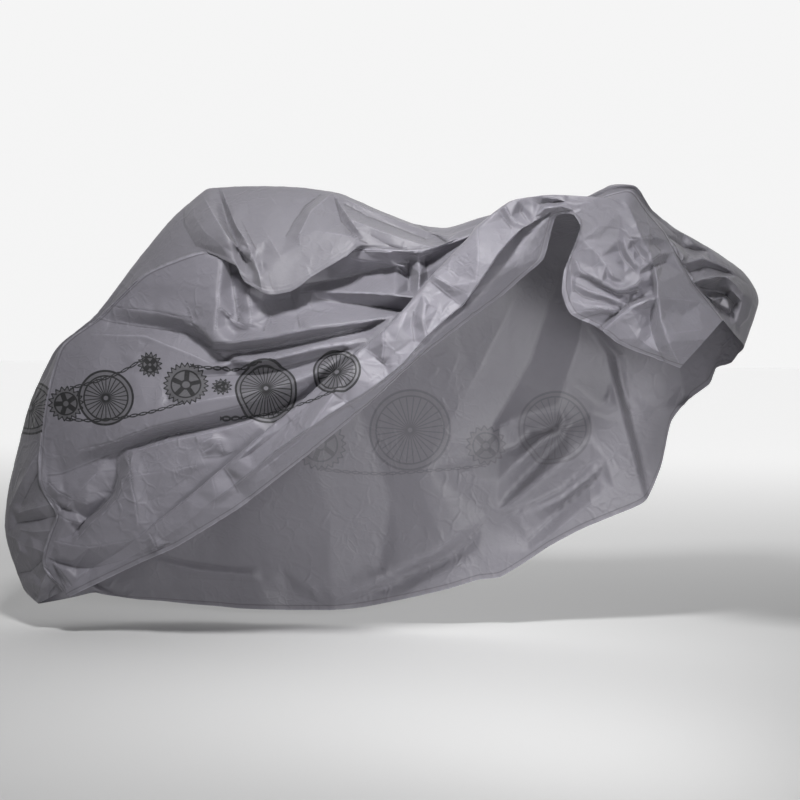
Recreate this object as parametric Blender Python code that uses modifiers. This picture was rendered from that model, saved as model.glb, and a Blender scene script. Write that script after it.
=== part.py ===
"""Bicycle cover: two film panels sewn along one perimeter seam, as they hang
with the near hem pulled up towards the front.

Metres, +Z up, +X towards the front. The origin is the underside of the crown,
where the cover is held up. All else hangs from there.
"""

import math

import bmesh
import bpy
import numpy as np

# ---- driving dimensions -----------------------------------------------------
FILM = 0.002            # thickness of the sheets
SEAM_GAP = 0.0022       # each panel keeps this far from the seam line
CROWN = (0.222, 0.0, 0.9985)   # underside of the crown in the setting-out frame
ALONG = 64              # stations across a panel's mesh, rear to front

# The stations below are set out on a side elevation that is seen in
# perspective: x to the right and y downwards, in parts of 1/REACH of the
# distance from EYE. A depth is the Y of the point, + away from the near side.
EYE = (1.246, -3.231, 0.757)
TURN, DIP = 12.5, 3.76  # degrees
REACH, MID = 1537.0, 400.0

# ---- near panel: a row for each station, rear corner to front flap -----------
NEAR_COLUMNS = ("k seam_x seam_y seam_d sunk tuck tuck_d ridge_x ridge_y ridge_d"
                " edge step hem_x hem_y hem_d")
NEAR = (
    (0, 63, 591, -.060, .000, -4, .000, 66, 594, -.070, .50, .000, 70, 596.5, -.070),
    (1, 43, 563, -.070, .000, -4, .004, 90, 572, -.090, .50, .000, 98, 583, -.085),
    (2, 50, 535, -.078, .000, -4, .006, 132, 543, -.110, .50, .000, 140, 563, -.100),
    (3, 57, 513, -.085, .000, -3, .010, 166, 516, -.135, .50, .000, 174, 548, -.120),
    (4, 39, 478, -.082, .000, -2, .012, 200, 488, -.160, .50, .000, 206, 529, -.140),
    (5, 46, 402, -.075, .000, -1, .014, 237, 456, -.180, .50, .000, 240, 507.5, -.155),
    (6, 62, 347, -.050, .000, 1, .018, 272, 425, -.195, .50, .000, 274, 481, -.165),
    (7, 99, 318, -.045, .000, 3, .022, 303, 400, -.205, .55, .000, 306, 456, -.170),
    (8, 146, 274, -.070, .000, 5, .026, 332, 374, -.215, .65, .000, 340, 428.5, -.175),
    (9, 200, 253, -.100, .012, 7, .030, 352, 356, -.220, .78, .002, 372, 401, -.175),
    (10, 235, 257, -.106, .030, 8, .034, 370, 342, -.220, .86, .005, 406, 369.5, -.175),
    (11, 268, 262, -.104, .042, 8, .036, 386, 328, -.220, .76, .010, 434, 346, -.170),
    (12, 310, 261, -.104, .042, 8, .036, 402, 311, -.215, .70, .016, 460, 326.5, -.165),
    (13, 356, 249, -.116, .036, 8, .045, 417, 294, -.210, .70, .020, 483, 309, -.160),
    (14, 392, 251, -.140, .034, 8, .055, 430, 278, -.205, .62, .022, 503, 294.5, -.155),
    (15, 424, 251, -.136, .024, 7, .048, 443, 264, -.195, .55, .022, 524, 276, -.150),
    (16, 455, 240, -.122, .008, 6, .034, 460, 246, -.185, .48, .018, 543, 259, -.150),
    (17, 484, 231, -.110, .000, 2, .022, 482, 224, -.180, .56, .012, 550, 236, -.160),
    (18, 514, 218, -.104, .000, -2, .020, 511, 201, -.180, .80, .006, 556, 216, -.175),
    (19, 549, 211, -.112, .000, -5, .020, 549, 195, -.185, .60, .000, 572, 214, -.190),
    (20, 582, 207, -.130, .000, -8, .018, 586, 196.5, -.190, .50, .000, 580, 226, -.190),
    (21, 608, 196, -.150, .000, -8, .010, 612, 200, -.185, .50, .000, 574, 246, -.180),
    (22, 631, 191, -.150, .000, -8, .000, 626, 214, -.180, .50, .000, 565, 268, -.170),
    (23, 648, 213, -.130, .000, -8, .000, 638, 242, -.180, .50, .000, 562, 292, -.165),
    (24, 664, 232, -.110, .000, -8, .000, 650, 272, -.180, .50, .000, 571, 314, -.160),
    (25, 681, 262, -.100, .000, -8, .000, 655, 306, -.180, .50, .000, 597, 327, -.160),
    (26, 694, 284, -.095, .000, -8, .000, 657, 328, -.180, .50, .000, 620, 344, -.150),
    (27, 708, 301, -.090, .000, -8, .000, 668, 346, -.175, .50, .000, 650, 356, -.140),
    (28, 723, 320, -.085, .000, -8, .000, 700, 346, -.130, .50, .000, 680, 368, -.120),
)

# ---- far panel: the same stations; the crest is where it turns to the far side,
# and the lip is how far its turned edge hangs below and before the seam
FAR_COLUMNS = ("k lip proud crest_x crest_y crest_d shoulder_x shoulder_y shoulder_d"
               " waist_x waist_y waist_d hem_x hem_y hem_d")
FAR = (
    (0, 0, .000, 38, 603.5, -.015, 54, 601, .040, 74, 597, .080, 92, 592.5, .100),
    (1, 0, .000, 24, 589, .000, 46, 581, .055, 80, 580, .085, 104, 594.5, .110),
    (2, 0, .000, 11, 556, .000, 34, 562, .070, 80, 576, .110, 122, 597, .130),
    (3, 0, .000, 5, 526, .000, 32, 540, .075, 88, 566, .125, 140, 599.5, .145),
    (4, 0, .000, 9, 487, .000, 36, 505, .080, 98, 552, .140, 162, 601, .155),
    (5, 0, .000, 31, 403, -.004, 58, 432, .085, 122, 522, .155, 190, 604, .168),
    (6, 0, .000, 58, 350, -.020, 88, 382, .085, 150, 497, .165, 215, 606, .172),
    (7, 0, .000, 97, 317, -.025, 122, 345, .085, 180, 476, .170, 240, 608.5, .175),
    (8, 0, .000, 134, 267, -.010, 160, 303, .080, 212, 460, .170, 266, 609.5, .175),
    (9, 0, .000, 172, 219, .000, 198, 258, .075, 244, 445, .170, 292, 610, .180),
    (10, 8, .032, 207, 189, .000, 230, 230, .070, 276, 430, .170, 320, 610, .185),
    (10.35, 21, .046, 222, 187.8, .000, 243, 227.5, .070, 288, 425, .170, 330, 610, .187),
    (11, 31, .058, 250, 186.5, .000, 268, 224, .070, 310, 418, .170, 348, 609, .190),
    (11.5, 28, .060, 275, 186.6, .000, 291, 224, .072, 330, 414, .171, 364, 607, .190),
    (12, 15, .055, 300, 187.5, .000, 314, 225, .075, 350, 410, .172, 380, 604, .190),
    (13, 1, .030, 340, 194, .000, 354, 234, .085, 390, 403, .178, 414, 597, .190),
    (14, -4, .004, 380, 211, .000, 394, 247, .100, 424, 398, .185, 448, 589, .190),
    (15, 0, .000, 415, 224.5, -.005, 428, 258, .120, 454, 395, .190, 478, 580, .193),
    (16, 0, .000, 446, 229, -.015, 456, 263, .140, 480, 392, .198, 500, 577, .197),
    (17, 0, .000, 474, 221, -.040, 484, 262, .155, 504, 387, .205, 524, 563, .200),
    (18, 0, .000, 505, 213, -.060, 512, 256, .170, 526, 380, .208, 548, 547, .200),
    (19, 0, .000, 548, 201, -.080, 548, 246, .185, 552, 372, .212, 568, 536, .200),
    (20, 0, .000, 585, 199, -.090, 580, 240, .195, 576, 365, .215, 586, 527, .200),
    (21, 0, .000, 612, 187, -.110, 608, 236, .205, 604, 355, .215, 614, 515.5, .200),
    (22, 0, .000, 636, 189, -.120, 630, 238, .200, 626, 350, .210, 645, 501, .195),
    (23, 0, .000, 652, 212, -.080, 648, 255, .190, 643, 350, .200, 661, 466, .190),
    (24, 0, .000, 676, 231, -.030, 668, 275, .175, 658, 350, .190, 671, 422, .185),
    (25, 0, .000, 708, 248, .000, 692, 290, .150, 674, 350, .175, 688, 400, .165),
    (26, 0, .000, 743, 272, .020, 720, 305, .120, 698, 345, .150, 709, 384, .140),
    (27, 0, .000, 758, 300, .030, 740, 322, .090, 722, 344, .110, 716, 368, .110),
    (28, 0, .000, 744, 346, .020, 738, 354, .050, 732, 362, .065, 728, 364, .070),
)

# ---- folds: points on the elevation, height along the run (+ stands out
# towards the near side), widths above or left and below or right of the run
FOLD_COLUMNS = "run height above below"
NEAR_FOLDS = (
    # from the seam at the rear down to the foot of the crown crease
    (((221, 256), (218, 300), (214, 344)), (.006, .012, .016), (38, 44, 40), (10, 12, 12)),
    (((214, 344), (262, 335), (303, 329), (364, 320), (396, 315)), (.012, .014, .012, .012, .008), (14, 20, 20, 16, 12), (10, 11, 11, 12, 12)),
    (((222, 353), (262, 351), (300, 344), (345, 337)), (-.010, -.011, -.008, -.004), (10, 10, 10, 9), (10, 10, 9, 9)),
    (((196, 369), (241, 363), (303, 354), (343, 347), (374, 337)), (.003, .010, .014, .012, .008), (10, 11, 13, 12, 10), (8, 9, 10, 10, 10)),
    (((120, 425), (190, 406), (241, 394), (313, 371), (345, 352)), (.004, .015, .018, .014, .008), (10, 10, 10, 10, 9), (26, 32, 30, 20, 14)),
    (((49, 474), (122, 453), (200, 428), (275, 408), (310, 395)), (-.010, -.016, -.016, -.012, -.006), (11, 14, 14, 11, 10), (15, 20, 15, 11, 10)),
    (((128, 452), (131, 475), (139, 528)), (.004, .009, .006), (14, 17, 12), (10, 12, 11)),
    (((120, 466), (100, 500), (78, 540)), (-.010, -.014, -.010), (22, 26, 22), (22, 24, 18)),
    (((104, 312), (150, 316), (190, 334), (232, 364)), (-.006, -.011, -.014, -.006), (12, 16, 17, 10), (12, 14, 14, 10)),
    (((112, 300), (124, 318), (140, 345)), (.006, .007, .002), 12, 12),
    (((60, 352), (100, 372), (150, 380), (200, 378)), (-.003, -.006, -.008, -.003), 15, 15),
    # under the crown's lip
    (((233, 262), (240, 290), (246, 322)), (-.010, -.012, -.004), 10, 10),
    (((313, 292), (350, 293), (390, 295), (414, 297)), (.003, .011, .014, .010), 11, 9),
    (((330, 304), (365, 306), (392, 308)), (-.006, -.014, -.010), 10, 11),
    # the gathered band along the near hem
    (((477, 230), (480, 256), (478, 281)), (.010, .012, .006), (18, 24, 20), (14, 18, 12)),
    (((352, 368), (318, 417), (276, 459), (248, 480)), (.004, .011, .010, .003), 12, 11),
    (((383, 326), (386, 344), (387, 363)), (.006, .008, .004), 10, 9),
    # the front flap and the lobe behind it
    (((655, 268), (657, 296), (652, 330), (662, 350), (678, 366)), (.010, .016, .018, .014, .006), (14, 20, 24, 20, 10), (26, 34, 34, 26, 14)),
    (((582, 273), (606, 282), (634, 291)), (.012, .014, .008), (16, 18, 14), (9, 9, 9)),
    (((588, 284), (612, 292), (636, 300)), (-.008, -.012, -.008), 9, 10),
    (((620, 236), (622, 252), (632, 268)), (-.010, -.016, -.010), 10, 11),
    (((640, 312), (646, 330), (660, 352)), (-.004, -.008, -.004), 12, 11),
)
TOP_FOLDS = (
    (((219, 188), (226, 210), (233, 230), (246, 262)), (-.006, -.012, -.016, -.012), (12, 14, 12, 10), (14, 16, 13, 10)),
    (((195, 192), (194, 216), (208, 236), (250, 262)), (.004, .010, .010, .006), (12, 14, 12, 10), (12, 14, 11, 10)),
    (((243, 232), (256, 262), (263, 290)), (.006, .012, .012), 10, (14, 18, 14)),
    (((333, 193), (316, 214), (299, 235)), (.008, .010, .006), 14, 12),
    (((333, 193), (352, 222), (380, 234), (418, 258)), (-.004, -.010, -.008, -.006), 10, 12),
    (((338, 196), (380, 215), (420, 231), (449, 241)), (.005, .008, .009, .006), 10, 10),
    (((44, 445), (26, 470), (12, 500)), (.004, .008, .004), 15, 15),
    (((52, 515), (30, 520), (8, 522)), (-.004, -.008, -.004), 11, 11),
    (((42, 560), (30, 572), (16, 572)), (-.004, -.008, -.004), 10, 10),
    # the cape over the front
    (((669, 238), (690, 246), (712, 262)), (-.010, -.014, -.010), 10, 11),
    (((694, 282), (706, 274), (726, 276), (744, 290)), (.008, .014, .014, .008), 10, 10),
    (((700, 287), (716, 291), (730, 301)), (-.020, -.028, -.018), 11, 14),
)
FAR_FOLDS = (
    # slack folds that hang from the crown and from the front
    (((222, 226), (196, 380), (160, 520)), (.003, .012, .007), 18, 18),
    (((236, 226), (228, 380), (214, 520)), (-.004, -.014, -.008), 18, 18),
    (((262, 228), (290, 380), (330, 520)), (.004, .012, .006), 20, 20),
    (((296, 232), (350, 380), (392, 500)), (-.004, -.014, -.008), 20, 20),
    (((540, 250), (480, 370), (420, 480)), (.004, .012, .006), 20, 20),
    (((566, 250), (530, 360), (480, 450)), (-.005, -.014, -.008), 18, 18),
    (((592, 250), (580, 340), (560, 400)), (.004, .011, .004), 16, 16),
    # low at the front, rising towards the front end
    (((503, 501), (541, 459), (567, 433)), (-.008, -.020, -.008), 16, 12),
    (((500, 452), (530, 432), (583, 419), (608, 400)), (-.004, -.014, -.012, -.005), 14, 12),
    (((528, 540), (565, 505), (600, 474)), (-.006, -.016, -.008), 13, 12),
    (((518, 515), (560, 498), (606, 460)), (.004, .009, .004), 10, 10),
    # the strip behind the front edge
    (((616, 355), (627, 401), (641, 458), (648, 490)), (.008, .011, .008, .003), 10, 14),
    (((607, 355), (619, 401), (634, 458)), (-.010, -.014, -.010), 12, 8),
    (((680, 300), (678, 350), (684, 396)), (-.006, -.014, -.012), 14, 14),
    # the long crease up from the hem, and what leans on it
    (((333, 609), (380, 589), (433, 565), (476, 532), (496, 508)), (-.003, -.012, -.013, -.008, -.002), (16, 20, 20, 16, 12), (8, 9, 10, 10, 8)),
    (((307, 597), (287, 592), (262, 588)), (-.008, -.008, -.003), 12, 10),
    (((400, 596), (440, 574), (478, 552)), (.002, .007, .002), 12, 12),
    # low at the rear
    (((150, 552), (191, 562), (240, 569), (282, 568)), (-.003, -.010, -.010, -.003), 13, 10),
    (((178, 577), (240, 581), (272, 582)), (-.002, -.007, -.003), 10, 8),
)

# Shares of each panel's width, from the seam, where its control rows lie, and
# where the rows of the mesh lie.
NEAR_ROWS = dict(upper=0.20, lower=0.40, tuck=0.56, ridge=0.63, edge=0.78, under=0.82, roll=0.90)
FAR_ROWS = dict(lip=0.06, brow=0.18, crest=0.30, shoulder=0.46, waist=0.74)
NEAR_CUTS = (0, .05, .12, .20, .30, .40, .48, .56, .595, .63, .68, .73, .78, .82, .86, .90, .95, 1)
FAR_CUTS = (0, .03, .06, .12, .18, .24, .30, .34, .38, .42, .46, .52, .58, .64, .70, .76, .82, .88, .94, 1)

MATERIALS = {
    # name: colour, roughness, metallic
    "near_panel": ((0.212, 0.206, 0.225), 0.42, 0.0),
    "far_panel": ((0.198, 0.195, 0.212), 0.42, 0.0),
}


# ---- setting out --------------------------------------------------------------
def columns(names, rows):
    """A table's columns by name, each an array with a value for each row."""
    return dict(zip(names.split(), np.array(rows, float).T))


def place(x, y, depth):
    """The point of the part that shows at (x, y) on the elevation and lies at this depth."""
    turn, dip = math.radians(TURN), math.radians(DIP)
    right = np.array((math.cos(turn), math.sin(turn), 0.0))
    ahead = np.array((-math.sin(turn) * math.cos(dip), math.cos(turn) * math.cos(dip), -math.sin(dip)))
    up = np.cross(right, ahead)
    line = ahead + right * ((x - MID) / REACH)[:, None] - up * ((y - MID) / REACH)[:, None]
    reach = (depth - EYE[1]) / line[:, 1]
    return np.array(EYE) + line * reach[:, None] - np.array(CROWN)


def curve(knots, values, x, tight):
    """A cardinal spline for each point: values holds a row of knot values for each of x."""
    x = np.clip(x, knots[0], knots[-1])
    i = np.clip(np.searchsorted(knots, x, side="right") - 1, 0, len(knots) - 2)
    slope = np.empty_like(values)
    slope[:, 1:-1] = (values[:, 2:] - values[:, :-2]) / (knots[2:] - knots[:-2])
    slope[:, 0] = (values[:, 1] - values[:, 0]) / (knots[1] - knots[0])
    slope[:, -1] = (values[:, -1] - values[:, -2]) / (knots[-1] - knots[-2])
    slope *= 1 - tight
    n = np.arange(len(x))
    h = knots[i + 1] - knots[i]
    s = (x - knots[i]) / h
    return ((2 * s**3 - 3 * s**2 + 1) * values[n, i] + (s**3 - 2 * s**2 + s) * h * slope[n, i]
            + (3 * s**2 - 2 * s**3) * values[n, i + 1] + (s**3 - s**2) * h * slope[n, i + 1])


def station(table, u, *names):
    """The named columns at station numbers u, side by side."""
    k = table["k"]
    return np.stack([curve(k, np.tile(table[n], (len(u), 1)), u, 0.35) for n in names], 1)


def relief(x, y, folds):
    """The height of the folds at points of the elevation."""
    total = np.zeros_like(x)
    for run, height, above, below in folds:
        p = np.array(run, float)
        legs = np.linalg.norm(p[1:] - p[:-1], axis=1)
        reached = np.concatenate([[0.0], np.cumsum(legs)]) / legs.sum()
        nearest = np.full(x.shape, np.inf)
        value = np.zeros_like(x)
        for a, b, r0, r1 in zip(p[:-1], p[1:], reached[:-1], reached[1:]):
            d = b - a
            s = np.clip(((x - a[0]) * d[0] + (y - a[1]) * d[1]) / (d @ d), 0, 1)
            off = np.hypot(x - a[0] - d[0] * s, y - a[1] - d[1] * s)
            low = (y - a[1]) * d[0] - (x - a[0]) * d[1] >= 0
            t = r0 + (r1 - r0) * s
            h, wa, wb = (np.interp(t, np.linspace(0, 1, np.size(c)), np.atleast_1d(np.array(c, float)))
                         if np.size(c) > 1 else np.full(x.shape, float(c)) for c in (height, above, below))
            q = np.clip(off / np.where(low, wb, wa), 0, 1)
            value = np.where(off < nearest, h * (1 - q * q) ** 2, value)
            nearest = np.minimum(nearest, off)
        total += value
    return total


def near_surface(u, w):
    """Points of the near panel: u station number, w share of its width from the seam."""
    t = columns(NEAR_COLUMNS, NEAR)
    seam = station(t, u, "seam_x", "seam_y", "seam_d")
    ridge = station(t, u, "ridge_x", "ridge_y", "ridge_d")
    hem = station(t, u, "hem_x", "hem_y", "hem_d")
    sunk, tuck, tuck_d, edge_at, step = (station(t, u, n) for n in ("sunk", "tuck", "tuck_d", "edge", "step"))
    # beneath the far panel's lip the edge lies behind the lip's turning
    seam[:, 2:] += sunk * 0.15
    run = ridge[:, :2] - seam[:, :2]
    length = np.linalg.norm(run, axis=1, keepdims=True) + 1e-9
    # the panel slips behind the ridge of the band
    tuck = np.clip(tuck, -0.4 * length, None)
    valley = np.concatenate([ridge[:, :2] + run / length * tuck, ridge[:, 2:] + tuck_d], 1)
    belly = np.concatenate([tuck * 0, tuck * 0, np.clip(length / 260, 0, 1) * 0.022], 1)
    under_lip = np.concatenate([tuck * 0, tuck * 0, sunk], 1)
    upper = seam + (valley - seam) * 0.34 - belly + under_lip
    lower = seam + (valley - seam) * 0.68 - belly * 0.9 + under_lip * 0.6
    # the band: outer layer to its fold edge, back under it, and out again as a roll to the hem
    down = hem - ridge
    edge = ridge + down * edge_at
    edge[:, 2:] = ridge[:, 2:] + down[:, 2:] * edge_at * 0.6 - np.clip(length / 40, 0, 1) * 0.004
    under = ridge + down * (edge_at + 0.05 - step * 8)
    under[:, 2:] = edge[:, 2:] + step
    roll = under + (hem - under) * 0.5
    roll[:, 2:] = (edge[:, 2:] + hem[:, 2:]) * 0.5 - step * 0.35
    knots = np.array((0, *NEAR_ROWS.values(), 1))
    rows = np.stack([seam, upper, lower, valley, ridge, edge, under, roll, hem], 1)
    x, y, depth = (curve(knots, rows[:, :, j], w, 0.3) for j in range(3))
    depth = depth - relief(x, y, NEAR_FOLDS) * np.clip(w / 0.05, 0, 1) * np.clip(u, 0, 1)
    return place(x, y, depth)


def far_surface(u, w):
    """Points of the far panel: over the crest from the seam, and down the far side."""
    near, t = columns(NEAR_COLUMNS, NEAR), columns(FAR_COLUMNS, FAR)
    seam = station(near, u, "seam_x", "seam_y", "seam_d")
    crest, shoulder, waist, hem = (station(t, u, *(f"{n}_{c}" for c in "xyd")) for n in ("crest", "shoulder", "waist", "hem"))
    drop, proud = station(t, u, "lip"), station(t, u, "proud")
    plain = (crest - seam) * 0.08 * (1 - np.clip(drop / 4, 0, 1))
    lip = seam + plain + np.concatenate([drop * 0, drop, -proud], 1)
    reach = np.linalg.norm(lip[:, :2] - crest[:, :2], axis=1)
    brow = (lip + crest) * 0.5
    brow[:, 2] = lip[:, 2] * 0.62 + crest[:, 2] * 0.38 - np.clip(reach / 60, 0, 1) * 0.012
    knots = np.array((0, *FAR_ROWS.values(), 1))
    rows = np.stack([seam, lip, brow, crest, shoulder, waist, hem], 1)
    x, y, depth = (curve(knots, rows[:, :, j], w, 0.15) for j in range(3))
    over = np.clip(w / 0.04, 0, 1) * np.clip((FAR_ROWS["crest"] - w) / 0.06, 0, 1)
    down = np.clip((w - FAR_ROWS["crest"] - 0.04) / 0.12, 0, 1) * np.clip(u / 3, 0, 1)
    depth = depth - relief(x, y, TOP_FOLDS) * over - relief(x, y, FAR_FOLDS) * down
    return place(x, y, depth)


# ---- pieces -------------------------------------------------------------------
def collection(name):
    c = bpy.data.collections.new(name)
    bpy.context.scene.collection.children.link(c)
    return c


def material(name):
    colour, roughness, metallic = MATERIALS[name]
    m = bpy.data.materials.new(name)
    m.use_nodes = True
    b = m.node_tree.nodes["Principled BSDF"]
    b.inputs["Base Color"].default_value = (*colour, 1.0)
    b.inputs["Roughness"].default_value = roughness
    b.inputs["Metallic"].default_value = metallic
    return m


def panel(name, surface, cuts, parts, outward):
    """A grid laid on the surface, its seam edge kept SEAM_GAP clear, made a sheet FILM thick."""
    last = NEAR[-1][0]
    stations = np.linspace(0, last, ALONG)
    bm = bmesh.new()
    bmesh.ops.create_grid(bm, x_segments=ALONG - 1, y_segments=len(cuts) - 1, size=1.0)
    bm.verts.ensure_lookup_table()
    grid = np.array([v.co[:2] for v in bm.verts])
    i = np.rint((grid[:, 0] + 1) / 2 * (ALONG - 1)).astype(int)
    j = np.rint((grid[:, 1] + 1) / 2 * (len(cuts) - 1)).astype(int)
    # the rows start SEAM_GAP short of the seam line
    first = surface(stations, np.full(ALONG, 0.0))
    step = np.linalg.norm(surface(stations, np.full(ALONG, 0.03)) - first, axis=1)
    start = 0.03 * SEAM_GAP / step
    w = start[i] + (1 - start[i]) * np.array(cuts, float)[j]
    p = surface(stations[i], w)
    for v, q in zip(bm.verts, p):
        v.co = q
    if outward:
        bmesh.ops.reverse_faces(bm, faces=bm.faces)
    me = bpy.data.meshes.new(name)
    bm.to_mesh(me)
    bm.free()
    me.shade_smooth()
    ob = bpy.data.objects.new(name, me)
    parts.objects.link(ob)
    ob.data.materials.append(material(name))
    sheet = ob.modifiers.new("film", "SOLIDIFY")
    sheet.thickness = FILM
    sheet.offset = 0.0
    sheet.use_even_offset = False
    return ob


def main():
    for ob in list(bpy.data.objects):
        bpy.data.objects.remove(ob, do_unlink=True)
    parts = collection("bicycle_cover")
    panel("near_panel", near_surface, NEAR_CUTS, parts, False)
    panel("far_panel", far_surface, FAR_CUTS, parts, True)


main()
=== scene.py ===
"""Looks of the bicycle cover: both film panels on the part's own folds, with their
creases, seam, hems, print and finish, on a plain pale floor."""

import math

import bpy
import numpy as np
from mathutils import Matrix, Vector
from mathutils.bvhtree import BVHTree
from mathutils.geometry import delaunay_2d_cdt


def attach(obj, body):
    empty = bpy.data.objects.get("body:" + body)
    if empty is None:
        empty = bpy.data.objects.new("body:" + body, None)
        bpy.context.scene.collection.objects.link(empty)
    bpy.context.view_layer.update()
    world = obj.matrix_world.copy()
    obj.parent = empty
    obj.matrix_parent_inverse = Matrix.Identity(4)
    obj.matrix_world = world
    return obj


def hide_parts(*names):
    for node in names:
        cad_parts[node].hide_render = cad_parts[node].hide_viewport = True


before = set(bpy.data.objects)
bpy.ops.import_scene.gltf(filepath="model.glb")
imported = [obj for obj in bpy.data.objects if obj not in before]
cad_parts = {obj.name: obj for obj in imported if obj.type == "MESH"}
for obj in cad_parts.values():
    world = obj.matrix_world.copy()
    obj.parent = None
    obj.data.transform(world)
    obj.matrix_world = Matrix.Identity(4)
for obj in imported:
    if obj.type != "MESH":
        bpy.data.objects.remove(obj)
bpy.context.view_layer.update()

# ---- setting out, as in the part ---------------------------------------------
CROWN = (0.222, 0.0, 0.9985)   # underside of the crown in the setting-out frame

# The stations below are the part's own, in metres, set out on a side elevation that is seen in
# perspective: x to the right and y downwards, in parts of 1/REACH of the
# distance from EYE. A depth is the Y of the point, + away from the near side.
EYE = (1.246, -3.231, 0.757)
TURN, DIP = 12.5, 3.76  # degrees
REACH, MID = 1537.0, 400.0

# ---- near panel: a row for each station, rear corner to front flap -----------
NEAR_COLUMNS = ("k seam_x seam_y seam_d sunk tuck tuck_d ridge_x ridge_y ridge_d"
                " edge step hem_x hem_y hem_d")
NEAR = (
    (0, 63, 591, -.060, .000, -4, .000, 66, 594, -.070, .50, .000, 70, 596.5, -.070),
    (1, 43, 563, -.070, .000, -4, .004, 90, 572, -.090, .50, .000, 98, 583, -.085),
    (2, 50, 535, -.078, .000, -4, .006, 132, 543, -.110, .50, .000, 140, 563, -.100),
    (3, 57, 513, -.085, .000, -3, .010, 166, 516, -.135, .50, .000, 174, 548, -.120),
    (4, 39, 478, -.082, .000, -2, .012, 200, 488, -.160, .50, .000, 206, 529, -.140),
    (5, 46, 402, -.075, .000, -1, .014, 237, 456, -.180, .50, .000, 240, 507.5, -.155),
    (6, 62, 347, -.050, .000, 1, .018, 272, 425, -.195, .50, .000, 274, 481, -.165),
    (7, 99, 318, -.045, .000, 3, .022, 303, 400, -.205, .55, .000, 306, 456, -.170),
    (8, 146, 274, -.070, .000, 5, .026, 332, 374, -.215, .65, .000, 340, 428.5, -.175),
    (9, 200, 253, -.100, .012, 7, .030, 352, 356, -.220, .78, .002, 372, 401, -.175),
    (10, 235, 257, -.106, .030, 8, .034, 370, 342, -.220, .86, .005, 406, 369.5, -.175),
    (11, 268, 262, -.104, .042, 8, .036, 386, 328, -.220, .76, .010, 434, 346, -.170),
    (12, 310, 261, -.104, .042, 8, .036, 402, 311, -.215, .70, .016, 460, 326.5, -.165),
    (13, 356, 249, -.116, .036, 8, .045, 417, 294, -.210, .70, .020, 483, 309, -.160),
    (14, 392, 251, -.140, .034, 8, .055, 430, 278, -.205, .62, .022, 503, 294.5, -.155),
    (15, 424, 251, -.136, .024, 7, .048, 443, 264, -.195, .55, .022, 524, 276, -.150),
    (16, 455, 240, -.122, .008, 6, .034, 460, 246, -.185, .48, .018, 543, 259, -.150),
    (17, 484, 231, -.110, .000, 2, .022, 482, 224, -.180, .56, .012, 550, 236, -.160),
    (18, 514, 218, -.104, .000, -2, .020, 511, 201, -.180, .80, .006, 556, 216, -.175),
    (19, 549, 211, -.112, .000, -5, .020, 549, 195, -.185, .60, .000, 572, 214, -.190),
    (20, 582, 207, -.130, .000, -8, .018, 586, 196.5, -.190, .50, .000, 580, 226, -.190),
    (21, 608, 196, -.150, .000, -8, .010, 612, 200, -.185, .50, .000, 574, 246, -.180),
    (22, 631, 191, -.150, .000, -8, .000, 626, 214, -.180, .50, .000, 565, 268, -.170),
    (23, 648, 213, -.130, .000, -8, .000, 638, 242, -.180, .50, .000, 562, 292, -.165),
    (24, 664, 232, -.110, .000, -8, .000, 650, 272, -.180, .50, .000, 571, 314, -.160),
    (25, 681, 262, -.100, .000, -8, .000, 655, 306, -.180, .50, .000, 597, 327, -.160),
    (26, 694, 284, -.095, .000, -8, .000, 657, 328, -.180, .50, .000, 620, 344, -.150),
    (27, 708, 301, -.090, .000, -8, .000, 668, 346, -.175, .50, .000, 650, 356, -.140),
    (28, 723, 320, -.085, .000, -8, .000, 700, 346, -.130, .50, .000, 680, 368, -.120),
)

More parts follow.
